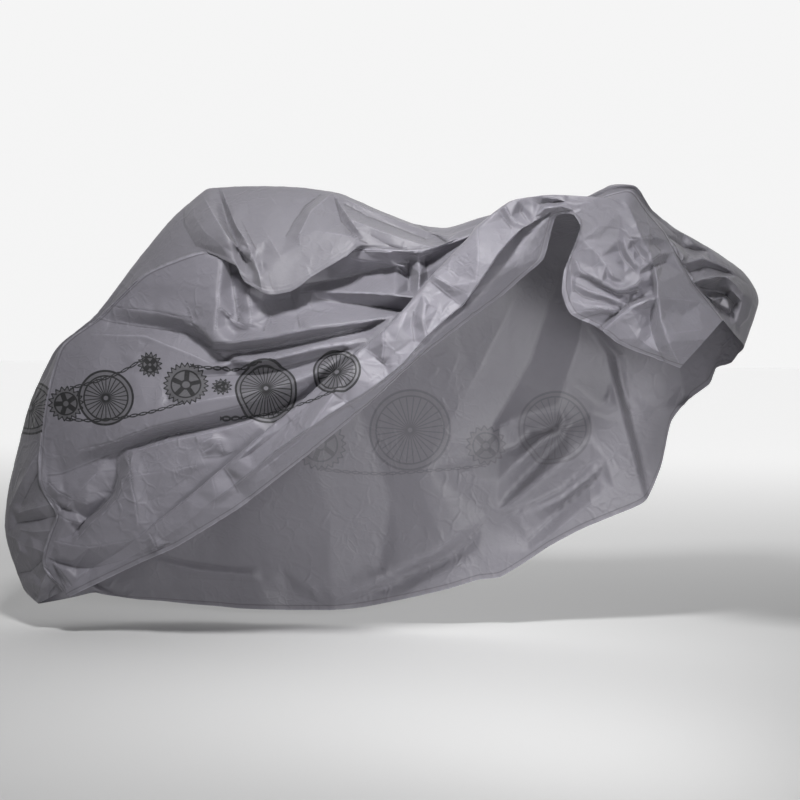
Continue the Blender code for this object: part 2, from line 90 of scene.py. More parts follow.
# ---- far panel: the same stations; the crest is where it turns to the far side,
# and the lip is how far its turned edge hangs below and before the seam
FAR_COLUMNS = ("k lip proud crest_x crest_y crest_d shoulder_x shoulder_y shoulder_d"
               " waist_x waist_y waist_d hem_x hem_y hem_d")
FAR = (
    (0, 0, .000, 38, 603.5, -.015, 54, 601, .040, 74, 597, .080, 92, 592.5, .100),
    (1, 0, .000, 24, 589, .000, 46, 581, .055, 80, 580, .085, 104, 594.5, .110),
    (2, 0, .000, 11, 556, .000, 34, 562, .070, 80, 576, .110, 122, 597, .130),
    (3, 0, .000, 5, 526, .000, 32, 540, .075, 88, 566, .125, 140, 599.5, .145),
    (4, 0, .000, 9, 487, .000, 36, 505, .080, 98, 552, .140, 162, 601, .155),
    (5, 0, .000, 31, 403, -.004, 58, 432, .085, 122, 522, .155, 190, 604, .168),
    (6, 0, .000, 58, 350, -.020, 88, 382, .085, 150, 497, .165, 215, 606, .172),
    (7, 0, .000, 97, 317, -.025, 122, 345, .085, 180, 476, .170, 240, 608.5, .175),
    (8, 0, .000, 134, 267, -.010, 160, 303, .080, 212, 460, .170, 266, 609.5, .175),
    (9, 0, .000, 172, 219, .000, 198, 258, .075, 244, 445, .170, 292, 610, .180),
    (10, 8, .032, 207, 189, .000, 230, 230, .070, 276, 430, .170, 320, 610, .185),
    (10.35, 21, .046, 222, 187.8, .000, 243, 227.5, .070, 288, 425, .170, 330, 610, .187),
    (11, 31, .058, 250, 186.5, .000, 268, 224, .070, 310, 418, .170, 348, 609, .190),
    (11.5, 28, .060, 275, 186.6, .000, 291, 224, .072, 330, 414, .171, 364, 607, .190),
    (12, 15, .055, 300, 187.5, .000, 314, 225, .075, 350, 410, .172, 380, 604, .190),
    (13, 1, .030, 340, 194, .000, 354, 234, .085, 390, 403, .178, 414, 597, .190),
    (14, -4, .004, 380, 211, .000, 394, 247, .100, 424, 398, .185, 448, 589, .190),
    (15, 0, .000, 415, 224.5, -.005, 428, 258, .120, 454, 395, .190, 478, 580, .193),
    (16, 0, .000, 446, 229, -.015, 456, 263, .140, 480, 392, .198, 500, 577, .197),
    (17, 0, .000, 474, 221, -.040, 484, 262, .155, 504, 387, .205, 524, 563, .200),
    (18, 0, .000, 505, 213, -.060, 512, 256, .170, 526, 380, .208, 548, 547, .200),
    (19, 0, .000, 548, 201, -.080, 548, 246, .185, 552, 372, .212, 568, 536, .200),
    (20, 0, .000, 585, 199, -.090, 580, 240, .195, 576, 365, .215, 586, 527, .200),
    (21, 0, .000, 612, 187, -.110, 608, 236, .205, 604, 355, .215, 614, 515.5, .200),
    (22, 0, .000, 636, 189, -.120, 630, 238, .200, 626, 350, .210, 645, 501, .195),
    (23, 0, .000, 652, 212, -.080, 648, 255, .190, 643, 350, .200, 661, 466, .190),
    (24, 0, .000, 676, 231, -.030, 668, 275, .175, 658, 350, .190, 671, 422, .185),
    (25, 0, .000, 708, 248, .000, 692, 290, .150, 674, 350, .175, 688, 400, .165),
    (26, 0, .000, 743, 272, .020, 720, 305, .120, 698, 345, .150, 709, 384, .140),
    (27, 0, .000, 758, 300, .030, 740, 322, .090, 722, 344, .110, 716, 368, .110),
    (28, 0, .000, 744, 346, .020, 738, 354, .050, 732, 362, .065, 728, 364, .070),
)

NEAR_ROWS = dict(upper=0.20, lower=0.40, tuck=0.56, ridge=0.63, edge=0.78, under=0.82, roll=0.90)
FAR_ROWS = dict(lip=0.06, brow=0.18, crest=0.30, shoulder=0.46, waist=0.74)

# ---- creases -------------------------------------------------------------------
# Every crease is a run of points "x y h": x and y on the elevation, h how far it stands out there in
# millimetres (below zero: a trough). The film between creases lies in flat facets.
NEAR_CREASES = (
    # crown crease and the broad face to its rear
    ((222, 256, 5), (219, 285, 13), (216, 315, 17), (214, 344, 17)),
    ((172, 266, 0), (180, 284, 3), (186, 300, 4), (192, 320, 4)),
    # pocket to the front of it
    ((229, 262, -8), (233, 285, -20), (236, 305, -17), (239, 322, -6)),
    ((248, 291, 0), (250, 307, 7), (251.5, 323, 8), (250, 331, 4)),
    ((221, 308, 14), (233, 320, 3), (243, 324, 6), (250, 331, 4)),
    # rear shoulder: brow, trough and the crease below
    ((106, 306, 0), (130, 309, 3), (158, 312, 6), (184, 318, 8), (203, 333, 12)),
    ((98, 318, -3), (112, 322, -7), (145, 327, -14), (184, 332, -17), (203, 342, -16), (226, 360, -12), (244, 366, -5)),
    ((92, 334, 3), (118, 335, 4), (146, 336, 4), (170, 346, 2), (191, 354, 1), (212, 364, 3)),
    ((148, 343, 1), (135, 360, 4), (133, 373, 1)),
    ((70, 352, 0), (100, 356, 3), (116, 352, 1)),
    # fans out from the foot of the crown crease
    ((214, 344, 24), (240, 341, 20), (270, 337, 18), (308, 329, 18), (340, 325, 17), (367, 321, 14), (392, 317, 7)),
    ((217, 350, -4), (235, 351.5, -15), (255, 350, -18), (290, 343.5, -17), (318, 337.5, -15), (342, 332, -10), (372, 326, -6)),
    ((188, 370, 1), (202, 368, 5), (214, 366, 8), (236, 361.5, 13), (270, 359, 14), (300, 352, 14), (318, 347, 14), (345, 343.5, 11), (367, 339.7, 6)),
    ((196, 377, -2), (212, 376, -5), (240, 375, -9), (280, 368, -9), (315, 359, -7), (345, 350, -4)),
    # under the crown's lip
    ((300, 292, 0), (313, 291, 4), (340, 292, 13), (370, 293, 18), (395, 295, 20), (416, 297, 14)),
    ((318, 299, -4), (350, 303.5, -13), (375, 306.5, -17), (400, 310, -19), (412, 312, -14)),
    ((300, 309, -3), (330, 313, 1), (360, 315, 3), (392, 315, 0)),
    ((306, 285, -4), (330, 280, -11), (355, 275, -14), (381, 269, -11), (396, 266, -6)),
    ((352, 259, 4), (366, 261, 8), (385, 263, 11), (404, 267, 10)),
    ((407.5, 262, -6), (409, 276, -21), (409, 291, -15)),
    ((418.5, 258, 7), (419.5, 274, 17), (418.5, 290, 13)),
    ((426, 263, -4), (427, 279, -9)),
    ((262, 300, -10), (270, 316, -7), (264, 330, 3)),
    ((292, 298, -8), (298, 316, -3), (300, 327, 8)),
    # the long fold across the print, its under-face and the trough below
    ((92, 431, 0), (104, 428, 3), (133, 415, 9), (160, 409, 13), (191, 403, 16), (216, 398, 18), (241, 394.5, 19), (279, 386, 18), (311, 374, 14), (333, 362, 9), (350, 350, 4)),
    ((80, 450, -2), (110, 443, 3), (150, 428, 9), (200, 416, 13), (250, 404, 13), (292, 391, 9), (330, 372, 4)),
    ((49, 475, -6), (61, 474, -11), (86, 464, -15), (107, 456, -17), (138, 444.5, -19), (168, 434.5, -18), (200, 428, -16), (240, 420, -13), (275, 409, -10), (310, 395, -5)),
    ((139, 450, -5), (150, 447, -1), (170, 441, 1), (200, 435, 4), (226, 429, 3), (252, 421, 0)),
    ((96, 474, -6), (80, 490, 1), (68, 506, 3)),
    # the stiff upright crease below it and the dark hollow to its rear
    ((127.5, 450, -8), (129, 462, 3), (130, 476, 7), (132, 488, 8), (135, 499, 8), (138.6, 525, 5), (140, 538, 2)),
    ((124, 480, 0), (116.5, 499, 5), (104, 513, 7), (91, 523, 6), (78, 538, 2)),
    ((118, 458, -16), (117, 476, -16), (111.5, 495, -19), (100, 508, -18), (87, 518.5, -14), (73, 534, -4)),
    ((122, 479, 0), (131, 476, 7), (150, 473, 4), (168, 471, 4), (197.5, 465, 2)),
    ((142, 455, -2), (148, 472, 3)),
    ((166, 447, 1), (172, 458, 3), (180, 466, 1)),
    ((150, 500, -2), (166, 492, -1), (186, 478, -3)),
    ((198, 450, 2), (204, 441, 6), (211, 438, 7), (221, 437, 2)),
    ((203, 452, 0), (212, 447, 5), (219, 439, 5), (223, 451, 3)),
    ((206, 457, -3), (222, 456, -3), (232, 452, -1)),
    # folds that meet the seam low at the rear
    ((50, 484, 1), (58, 492, 5), (70, 498, 3), (86, 503, 0)),
    ((53, 500, -3), (62, 508, -6), (76, 512, -5)),
    ((57, 514, 2), (66, 520, 4), (80, 524, 1)),
    ((56, 541, 2), (72, 545, 4), (90, 547, 5), (128, 541, 3)),
    ((50, 558, -3), (60, 563, -8), (76, 567, -11), (92, 567.5, -11), (119, 561, -8), (140, 553, -4)),
    ((52, 562, -2), (60, 577, -6), (67, 592, -3)),
    ((56, 566, 1), (66, 579, 2), (74, 590, 0)),
    # broad print area
    ((60, 392, 0), (90, 388, 3), (120, 392, 0)),
    ((150, 372, 0), (166, 386, 3), (170, 400, 4)),
    ((52, 432, 2), (76, 420, 4), (96, 412, 1)),
)
BAND_CREASES = (
    ((477, 229, 7), (478.6, 245, 12), (478.6, 262, 12), (476, 281, 7)),
    ((432, 282, -2), (444, 292, -6), (459, 303.5, -4)),
    ((428.6, 305, -1), (438, 309, -5), (448, 312, -2)),
    ((436, 277, 4), (452, 286, 5), (466, 293, 3)),
    ((425.5, 304, 6), (423, 320, 9), (426, 334, 4)),
    ((414, 312, -3), (412, 326, -5), (414, 340, -3)),
    ((406, 313, 2), (400, 327, 7), (395, 341, 6), (391, 356, 2)),
    ((383, 326, 5), (384, 342, 9), (382, 358, 5)),
    ((370, 338, 1), (369, 350, -2)),
    ((366, 350, -1), (376, 357, -6), (385, 364.5, -3)),
    ((356, 362, 3), (346, 377, 9), (336, 392, 12), (322, 412, 13), (311, 427, 13), (300, 440, 11), (276, 459, 8), (248, 480, 3)),
    ((334, 393, 6), (345, 401, -3), (355, 409.5, -4)),
    ((345, 366, -2), (328, 386, -3), (308, 406, -4), (282, 428, -4), (250, 454, -3)),
    ((262, 438, 2), (246, 452, 5), (230, 468, 2)),
    ((222, 465, 0), (231, 478, -5), (238, 491, -2)),
    ((212, 478, 3), (216, 492, 5), (214, 508, 2)),
    ((196, 492, 2), (190, 508, 5), (182, 530, 2)),
    ((150, 534, 3), (156, 546, 4), (158, 552, 1)),
    ((92, 567.5, -11), (119, 561, -8), (147, 552, -4), (170, 543, -1)),
    # the outer layer over the high front end
    ((496, 209, 0), (503, 218, -6), (511, 228, -2)),
    ((505, 207, 2), (510, 216, 5), (516, 222, 2)),
    ((523, 206, -2), (521, 212, -8), (526, 219, -4)),
    ((533, 217, 2), (545, 208, 8), (560, 206, 8), (573, 210, 4)),
    ((527, 197, 0), (540, 204, -5), (560, 201, -4)),
    ((545, 197, 3), (575, 204, 5), (590, 202, 2)),
    # lobe behind the flap: thin pleats between broad faces
    ((577, 262, 2), (580, 270, 4), (586.8, 274.4, 7), (601, 282, 9), (617.4, 290, 9), (628, 288, 8), (636.5, 284.6, 5), (642, 279, 2)),
    ((578, 276, -2), (588, 278.5, -6), (600, 286, -8), (616, 294, -8), (630, 293, -8), (641, 289, -6)),
    ((576, 284, 2), (588, 290, 2), (600, 294, 3), (611, 297.5, 4), (627, 304.5, 3)),
    ((574, 290, -2), (583, 297, -5), (596, 301, -6), (608, 303, -6), (620, 307, -5)),
    ((570, 300, 1), (582, 304, 2), (596, 306, 3), (610, 308, 3)),
    ((572, 313, 3), (585.5, 310.5, 4), (604.6, 309, 4), (616, 312, 2)),
    ((578, 320, 0), (590, 316, -4), (602, 313, -5), (613, 314.5, -5)),
    ((565, 262, 1), (565, 285, 4), (568, 304, 3), (574, 312, 2)),
    ((571, 258, -2), (572, 276, -5), (573, 290, -4)),
    ((584, 240, 4), (600, 256, 5), (612, 274, 6)),
    ((619, 240, -4.0), (620, 252, -10.0), (625, 262, -8.5), (633, 270, -5.0)),
    ((624, 238, 1.0), (627, 250, 2.0), (634, 262, 1.5)),
    ((630, 239, 2.5), (640, 239, 4.5), (652, 236, 3.0)),
    ((634, 246, -4.5), (640, 256, -6.5), (645, 260, -4.0)),
    ((641, 268, 2), (650, 262, 5), (660, 255, 4)),
    ((650, 252, 3), (650, 262, 5), (655, 268, 1)),
    ((655, 245, -4.0), (660, 250, -4.0)),
    ((643, 272, -4.0), (652, 266.5, -5.0), (664, 262, -4.0)),
    # flap: its edge stands well clear of what it hangs over, and its wing falls back to an inner fold
    ((600.8, 333, 7), (615, 320, 10), (630.2, 307.6, 11), (641.6, 302.4, 11), (656.5, 297.5, 13)),
    ((597.5, 329.5, -8), (612.5, 316, -9), (628.3, 303.4, -11), (640.6, 298.2, -12), (653, 293.4, -12)),
    ((655.7, 269.3, 9), (657.5, 283, 12), (656.5, 297.5, 13)),
    ((651.3, 271, -5), (653, 283, -9), (653, 293.4, -12)),
    ((654, 304, 0), (650.5, 312, -9), (650, 323, -12), (653, 336, -12), (659, 350, -8), (665, 362, -3)),
    ((656.5, 297.5, 13), (659, 308, 11), (661, 320, 11), (666, 334, 10), (672, 350, 7), (678.5, 362, 3)),
    ((656.5, 297.5, 13), (680, 299.5, 10), (702, 302.4, 4)),
    ((669, 242, 2), (676, 262, 6), (690, 284, 6), (703, 300, 4)),
    ((666, 334, 10), (690, 331, 5), (712, 329, 2)),
    ((606, 336, 7), (620, 343, 6), (646, 354, 2), (658, 359, -2)),
)
TOP_CREASES = (
    # round the hollow at the crown's rear
    ((219, 189, -4), (226, 214, -13), (232, 235.5, -19), (239, 250, -19), (246, 263, -14)),
    ((223, 192, 2), (236, 226, 6), (245.5, 240, 11), (255, 262, 14), (260, 277, 13), (262, 288, 8)),
    ((201, 191, 3), (212, 212, 9), (226, 235, 12), (240, 250, 6), (250, 260, 0)),
    ((194, 198, 2), (194, 216, 7), (205, 232, 9), (222, 246, 8)),
    ((184, 208, 0), (184, 226, 0), (196, 246, 1)),
    ((242, 222, 2), (256, 250, 3), (268, 272, 6), (272, 288, 4)),
    ((262, 226, 4), (280, 256, 6), (290, 276, 4)),
    # fans out from the high front corner of the crown
    ((333, 193, 4), (322, 202, 8), (311, 211, 10), (299, 235, 7)),
    ((320, 195, -2), (305, 206, -6), (294, 222, -5), (286, 236, -2)),
    ((264, 188, 2), (276, 204, 5), (290, 216, -2)),
    ((299, 235, 7), (313, 231, 8), (336, 234, 5), (357, 238, 3)),
    ((299, 235, 7), (302, 256, 3), (304, 272, 3)),
    ((335, 200, -5), (341, 221, -11), (352, 234, -9), (366, 243, -4)),
    ((333, 193, 4), (343, 209, 6), (350, 219, 7), (357, 229, 4)),
    ((350, 219, 7), (380, 231, 7), (400, 238, 7), (417, 243, 7), (438, 250, 3)),
    ((338, 196, 5), (360, 206, 8), (380, 214, 9), (410, 225, 8), (439, 235.5, 5)),
    ((346, 205, -1), (370, 217, -5), (395, 227, -6), (425, 239, -4)),
    ((372, 236, -2), (390, 246, -6), (410, 252, -3)),
    ((420, 226, -2), (438, 237, -9), (453, 247, -6)),
    ((447, 241, 5), (460, 232, 7), (476, 226, 3)),
    ((425, 258, -3), (440, 252, -7), (458, 244, -3)),
    # rear strip
    ((150, 262, 0), (130, 280, 3), (112, 303, 2)),
    ((50, 378, 1), (38, 390, 4), (30, 410, 3)),
    ((44, 446, 1), (32, 462, 7), (20, 484, 8), (10, 505, 3)),
    ((40, 470, -3), (30, 488, -6), (22, 505, -6)),
    ((51, 504, 2), (36, 508, 7), (20, 512, 5)),
    ((58, 516, -3), (38, 520, -8), (18, 523, -6)),
    ((52, 530, 1), (34, 532, 3), (22, 530, 3)),
    ((8, 534, 3), (17, 540, 8), (20, 551, 8), (15, 562, 3)),
    ((46, 553, 2), (34, 548, 5), (24, 545, 3)),
    ((43, 560, -4), (31, 571, -10), (18, 573, -5)),
    ((47, 572, 3), (41, 588, 9), (37, 601, 4)),
    ((56, 585, -4), (50, 592, -7), (48, 603, -4)),
    # over the front
    ((640, 200, -2), (658, 222, -6), (668, 238, -5)),
    ((669, 238, -6), (682, 247, -14), (695, 250, -12), (708, 251, -4)),
    ((674, 243, 5), (684, 256, 10), (679, 267, 4)),
    ((686, 263, 6), (704, 258, 12), (726, 268, 12), (748, 284, 6)),
    ((690, 272, -5), (706, 267, -6), (726, 272, -5)),
    ((692, 283, 8), (702, 279, 13), (714, 277, 16), (727, 277, 17), (736, 285, 16), (743, 294, 12)),
    ((700, 287, -14), (714, 291, -27), (726, 295, -32), (735, 305, -28), (729, 315, -22), (715, 306, -20), (704, 294, -16)),
    ((724, 297, -8), (732, 291, 2), (741, 300, 4)),
    ((718, 304, -12), (728, 302, -4), (734, 313, -8)),
    ((744, 298, 9), (753, 300, 9), (748, 318, 7), (740, 326, 4)),
    ((712, 336, 6), (726, 342, 10), (742, 346, 6)),
    ((714, 344, -7), (724, 350, -9), (736, 352, -6)),
)
FAR_CREASES = (
    # low at the front: folds that rise towards the front end
    ((503, 501, -6), (520, 482, -13), (541, 459, -16), (556, 444, -13), (567, 433, -6)),
    ((498, 482, 3), (520, 460, 8), (545, 438, 7), (566, 424, 3)),
    ((503, 509, 2), (530, 487, 8), (560, 463, 10), (590, 438, 6)),
    ((503, 515, -2), (541, 499, -5), (566, 485.5, -7), (580, 472, -6), (590, 461, -3)),
    ((518, 515, 3), (560, 498, 7), (592, 474, 7), (606, 460, 3)),
    ((528, 540, -5), (553, 516, -12), (578, 493, -13), (600, 474, -7)),
    ((530, 551, 3), (560, 528, 8), (590, 503, 9), (614, 487, 4)),
    ((500, 452, -3), (515, 447, -7), (530, 432, -13), (566, 426, -12), (583, 419, -9), (608, 400, -4)),
    ((500, 426, 2), (530, 414, 5), (560, 410, 3)),
    # the bright strip behind the front edge
    ((616, 355, 7), (621, 380, 9), (627, 401, 9), (634, 430, 9), (641, 458, 7), (648, 490, 3)),
    ((607, 355, -10), (613, 380, -14), (619, 401, -16), (627, 430, -16), (634, 458, -12), (643, 492, -4)),
    ((625, 355, 1), (627, 380, 2), (629, 398, 4)),
    ((630, 413.5, 3), (657.6, 410, 7), (675, 406, 4)),
    ((680, 300, -6), (678, 350, -14), (684, 396, -12)),
    # the long crease up from the hem, and what leans on it
    ((333, 609, -2), (356, 599, -9), (380, 589, -10), (433, 565, -11), (454, 554, -10), (476, 532, -6), (496, 508, -2)),
    ((336, 600, 2), (380, 578, 5), (433, 553, 7), (462, 530, 5)),
    ((333, 608, -3), (307, 597, -8), (287, 592, -8), (262, 588, -3)),
    ((310, 588, 3), (330, 580, 6), (352, 578, 3)),
    ((368, 566, -2), (402, 572, -7), (430, 560, -3)),
    ((400, 596, 1), (425, 582, 5), (456, 566, 4), (478, 552, 1)),
    # low at the rear
    ((150, 552, -1.8), (191, 562, -5.4), (240, 569, -5.4), (282, 568, -1.8)),
    ((150, 560, 1.2), (200, 571, 1.8), (250, 575, 1.8)),
    ((178, 577, -1.2), (240, 580.5, -4.2), (272, 582, -1.8)),
    ((146, 565, 1.8), (148, 575, 2.4), (147, 590, 0.6)),
    # long slack folds that hang from the high places
    ((222, 226, 1.6), (196, 380, 7.2), (160, 520, 4.0)),
    ((236, 226, -2.4), (228, 380, -8.0), (214, 520, -4.8)),
    ((262, 228, 2.4), (290, 380, 7.2), (330, 520, 4.0)),
    ((296, 232, -2.4), (350, 380, -8.0), (392, 500, -4.8)),
    ((540, 250, 2.4), (480, 370, 7.2), (420, 480, 3.2)),
    ((566, 250, -3.2), (530, 360, -8.0), (480, 450, -4.8)),
    ((592, 250, 2.4), (580, 340, 6.4), (560, 400, 2.4)),
)

# ---- finish ----------------------------------------------------------------------
CREST = 0.0055          # how far to either side a crease's crest is sharpened
SEAM_BEAD = 0.0012      # how far the stitched seam stands out
# how much lower the lip's edge hangs than its stations: station, and parts of the elevation
LIP_EDGE = ((9.8, 10.1, 10.3, 10.5, 10.9, 11.3, 11.6, 11.9, 12.4, 12.8, 13.2), (0, -1, 3, 2.5, 1, 1.5, 2, 2, 1, 1, 0))
HEM_WIDTH = 0.011       # turned hem, from its edge to its stitching


# ---- setting out --------------------------------------------------------------
def columns(names, rows):
    """A table's columns by name, each an array with a value for each row."""
    return dict(zip(names.split(), np.array(rows, float).T))


def place(x, y, depth):
    """The point of the part that shows at (x, y) on the elevation and lies at this depth."""
    turn, dip = math.radians(TURN), math.radians(DIP)
    right = np.array((math.cos(turn), math.sin(turn), 0.0))
    ahead = np.array((-math.sin(turn) * math.cos(dip), math.cos(turn) * math.cos(dip), -math.sin(dip)))
    up = np.cross(right, ahead)
    line = ahead + right * ((x - MID) / REACH)[:, None] - up * ((y - MID) / REACH)[:, None]
    reach = (depth - EYE[1]) / line[:, 1]
    return np.array(EYE) + line * reach[:, None] - np.array(CROWN)


def curve(knots, values, x, tight):
    """A cardinal spline for each point: values holds a row of knot values for each of x."""
    x = np.clip(x, knots[0], knots[-1])
    i = np.clip(np.searchsorted(knots, x, side="right") - 1, 0, len(knots) - 2)
    slope = np.empty_like(values)
    slope[:, 1:-1] = (values[:, 2:] - values[:, :-2]) / (knots[2:] - knots[:-2])
    slope[:, 0] = (values[:, 1] - values[:, 0]) / (knots[1] - knots[0])
    slope[:, -1] = (values[:, -1] - values[:, -2]) / (knots[-1] - knots[-2])
    slope *= 1 - tight
    n = np.arange(len(x))
    h = knots[i + 1] - knots[i]
    s = (x - knots[i]) / h
    return ((2 * s**3 - 3 * s**2 + 1) * values[n, i] + (s**3 - 2 * s**2 + s) * h * slope[n, i]
            + (3 * s**2 - 2 * s**3) * values[n, i + 1] + (s**3 - s**2) * h * slope[n, i + 1])


def station(table, u, *names):
    """The named columns at station numbers u, side by side."""
    k = table["k"]
    return np.stack([curve(k, np.tile(table[n], (len(u), 1)), u, 0.35) for n in names], 1)


# ---- folded film: flat facets between creases ------------------------------------
PIXEL = 0.00215   # metres across one part of the elevation
REACH_OUT = -0.236   # Y from which what stands further out is held back
BOLD = 1.8    # creases are drawn this much bolder than their tables


def resampled(run, step=12.0):
    """A crease's points every step or so along it, as x, y and height in metres."""
    p = np.array(run, float)
    legs = np.linalg.norm(p[1:, :2] - p[:-1, :2], axis=1)
    at = np.concatenate([[0.0], np.cumsum(legs)])
    s = [0.0]
    for a, b in zip(at[:-1], at[1:]):
        n = max(1, int(round((b - a) / step)))
        s += list(a + (b - a) * (np.arange(n) + 1) / n)
    x, y, h = (np.interp(s, at, p[:, j]) for j in range(3))
    return np.stack([x, y, h * BOLD / 1000], 1)


def facets(creases, box, spacing, rough, seed, crumples=()):
    """The film's facets as a tree to be read from above: creases at their heights, and loose
    points between them, every spacing or so and about rough high or low. A crumple is a place
    with its own: centre, radius, spacing, roughness."""
    rng = np.random.default_rng(seed)
    pts, lines = [], []
    for run in creases:
        p = resampled(run)
        lines += [(len(pts) + i, len(pts) + i + 1) for i in range(len(p) - 1)]
        pts += [tuple(q) for q in p]
    (x0, y0), (x1, y1) = box
    for cx, cy, radius, gap, rise, clear in [(*c, 0.42) for c in crumples] + [(None, None, None, spacing, rough, 0.62)]:
        taken = np.array(pts)
        loose = []
        ax, ay, bx, by = (x0, y0, x1, y1) if cx is None else (cx - radius, cy - radius, cx + radius, cy + radius)
        for gx in np.arange(ax, bx, gap):
            for gy in np.arange(ay, by, gap):
                q = np.array((gx, gy)) + rng.uniform(-0.42, 0.42, 2) * gap
                h = rng.normal(0, rise)
                if cx is not None and math.hypot(q[0] - cx, q[1] - cy) > radius:
                    continue
                if np.hypot(taken[:, 0] - q[0], taken[:, 1] - q[1]).min() > gap * clear:
                    loose.append((q[0], q[1], h))
        pts += loose
    for t in np.linspace(0, 1, 9):
        pts += [(x0 + (x1 - x0) * t, y0 - 30, 0.0), (x0 + (x1 - x0) * t, y1 + 30, 0.0),
                (x0 - 30, y0 + (y1 - y0) * t, 0.0), (x1 + 30, y0 + (y1 - y0) * t, 0.0)]
    pts = np.array(pts)
    verts, _, faces, origin, _, _ = delaunay_2d_cdt([Vector(p[:2]) for p in pts], lines, [], 0, 1e-3)
    seg = np.array(lines)
    a, d = pts[seg[:, 0]], pts[seg[:, 1]] - pts[seg[:, 0]]
    corners = []
    for v, o in zip(verts, origin):
        if o:
            h = pts[o, 2].mean()
        else:
            # where two creases cross
            q = np.array(v)
            s = np.clip(((q - a[:, :2]) * d[:, :2]).sum(1) / (d[:, :2] ** 2).sum(1), 0, 1)
            off = np.linalg.norm(q - a[:, :2] - d[:, :2] * s[:, None], axis=1)
            h = (a[:, 2] + d[:, 2] * s)[off < off.min() + 0.05].mean()
        corners.append((v[0] * 0.01, v[1] * 0.01, h))
    return BVHTree.FromPolygons(corners, faces), turns(BVHTree.FromPolygons(corners, faces), pts, lines)


def turns(tree, pts, lines):
    """The creases' segments, each end as x, y and the change of slope there across the crease."""
    seg = np.array(lines)
    a, b = pts[seg[:, 0]], pts[seg[:, 1]]
    d = b[:, :2] - a[:, :2]
    side = np.stack([-d[:, 1], d[:, 0]], 1) / np.linalg.norm(d, axis=1, keepdims=True)
    out = []
    for p in (a * 0.8 + b * 0.2, a * 0.2 + b * 0.8):
        left, mid, right = (read(tree, p[:, 0] + side[:, 0] * s, p[:, 1] + side[:, 1] * s) for s in (-3.0, 0.0, 3.0))
        out.append((2 * mid - left - right) / (3.0 * PIXEL))
    return np.concatenate([a[:, :2], b[:, :2], out[0][:, None], out[1][:, None]], 1)


def fold_marks(segments, x, y, reach=4.0):
    """For points of the elevation: distance across the nearest crease in metres, + on one side of
    it and - on the other, and how sharply the film turns there."""
    nearest = np.full(len(x), np.inf)
    across = np.full(len(x), reach)
    turn = np.zeros(len(x))
    for ax, ay, bx, by, k0, k1 in segments:
        near = np.flatnonzero((x > min(ax, bx) - reach) & (x < max(ax, bx) + reach) & (y > min(ay, by) - reach) & (y < max(ay, by) + reach))
        if not len(near):
            continue
        dx, dy = bx - ax, by - ay
        long_ = dx * dx + dy * dy
        px, py = x[near] - ax, y[near] - ay
        s = np.clip((px * dx + py * dy) / long_, 0, 1)
        off = np.hypot(px - dx * s, py - dy * s)
        closer = off < nearest[near]
        i = near[closer]
        nearest[i] = off[closer]
        across[i] = np.where((py * dx - px * dy)[closer] >= 0, off[closer], -off[closer])
        turn[i] = (k0 + (k1 - k0) * s[closer])
    return (np.clip(across, -reach, reach) * PIXEL, np.minimum(nearest, reach) * PIXEL,
            np.clip(turn, -1.2, 1.2) * (nearest < reach))


def marks_of(first, second, upper, x, y):
    """Crease marks from one set of creases where upper holds, and from the other elsewhere."""
    a, b = fold_marks(first, x, y), fold_marks(second, x, y)
    return dict(zip(("across", "near", "turn"), (np.where(upper, i, j) for i, j in zip(a, b))))


def read(tree, x, y):
    """The facets' height at points of the elevation."""
    down = Vector((0, 0, -1))
    out = np.zeros(len(x))
    for i, (px, py) in enumerate(zip((x * 0.01).tolist(), (y * 0.01).tolist())):
        hit = tree.ray_cast(Vector((px, py, 1.0)), down)[0]
        if hit is not None:
            out[i] = hit.z
    return out


# ---- noise -------------------------------------------------------------------------
def noise(p, seed):
    """Smooth noise in about -1 to 1 at rows of 3-D points whose unit is its scale."""
    rng = np.random.default_rng(seed)
    table = rng.permutation(512)
    grads = rng.normal(size=(512, 3))
    grads /= np.linalg.norm(grads, axis=1, keepdims=True)
    cell = np.floor(p).astype(int)
    f = p - cell
    s = f * f * f * (f * (f * 6 - 15) + 10)
    total = 0.0
    for dx in (0, 1):
        for dy in (0, 1):
            for dz in (0, 1):
                h = table[(table[(table[(cell[:, 0] + dx) % 512] + cell[:, 1] + dy) % 512] + cell[:, 2] + dz) % 512]
                g = (grads[h] * (f - (dx, dy, dz))).sum(1)
                w = ((s[:, 0] if dx else 1 - s[:, 0]) * (s[:, 1] if dy else 1 - s[:, 1]) * (s[:, 2] if dz else 1 - s[:, 2]))
                total = total + w * g
    return total * 1.6


def creased(p, seed):
    """Noise folded into sharp low ridges."""
    return 0.5 - np.abs(noise(p, seed)) ** 0.8


# ---- near panel ----------------------------------------------------------------------
NEAR_BOX, TOP_BOX, FAR_BOX = ((20, 180), (740, 610)), ((0, 180), (770, 612)), ((0, 180), (770, 620))
# crumpled places: centre, radius, facet size, roughness
NEAR_CRUMPLES = ((240, 318, 20, 9, .0016), (216, 446, 20, 9, .0016), (134, 288, 30, 9, .0016), (58, 500, 16, 7, .0014), (60, 572, 22, 9, .0016))
BAND_CRUMPLES = ((545, 208, 30, 9, .0015), (600, 298, 36, 13, .0014), (640, 258, 26, 9, .0020), (660, 330, 40, 24, .0006), (440, 290, 26, 14, .0014))
TOP_CRUMPLES = ((26, 565, 36, 10, .0018), (32, 500, 30, 12, .0016), (248, 266, 20, 9, .0016), (716, 300, 34, 11, .0026), (690, 246, 26, 11, .0018), (735, 335, 20, 9, .0024))


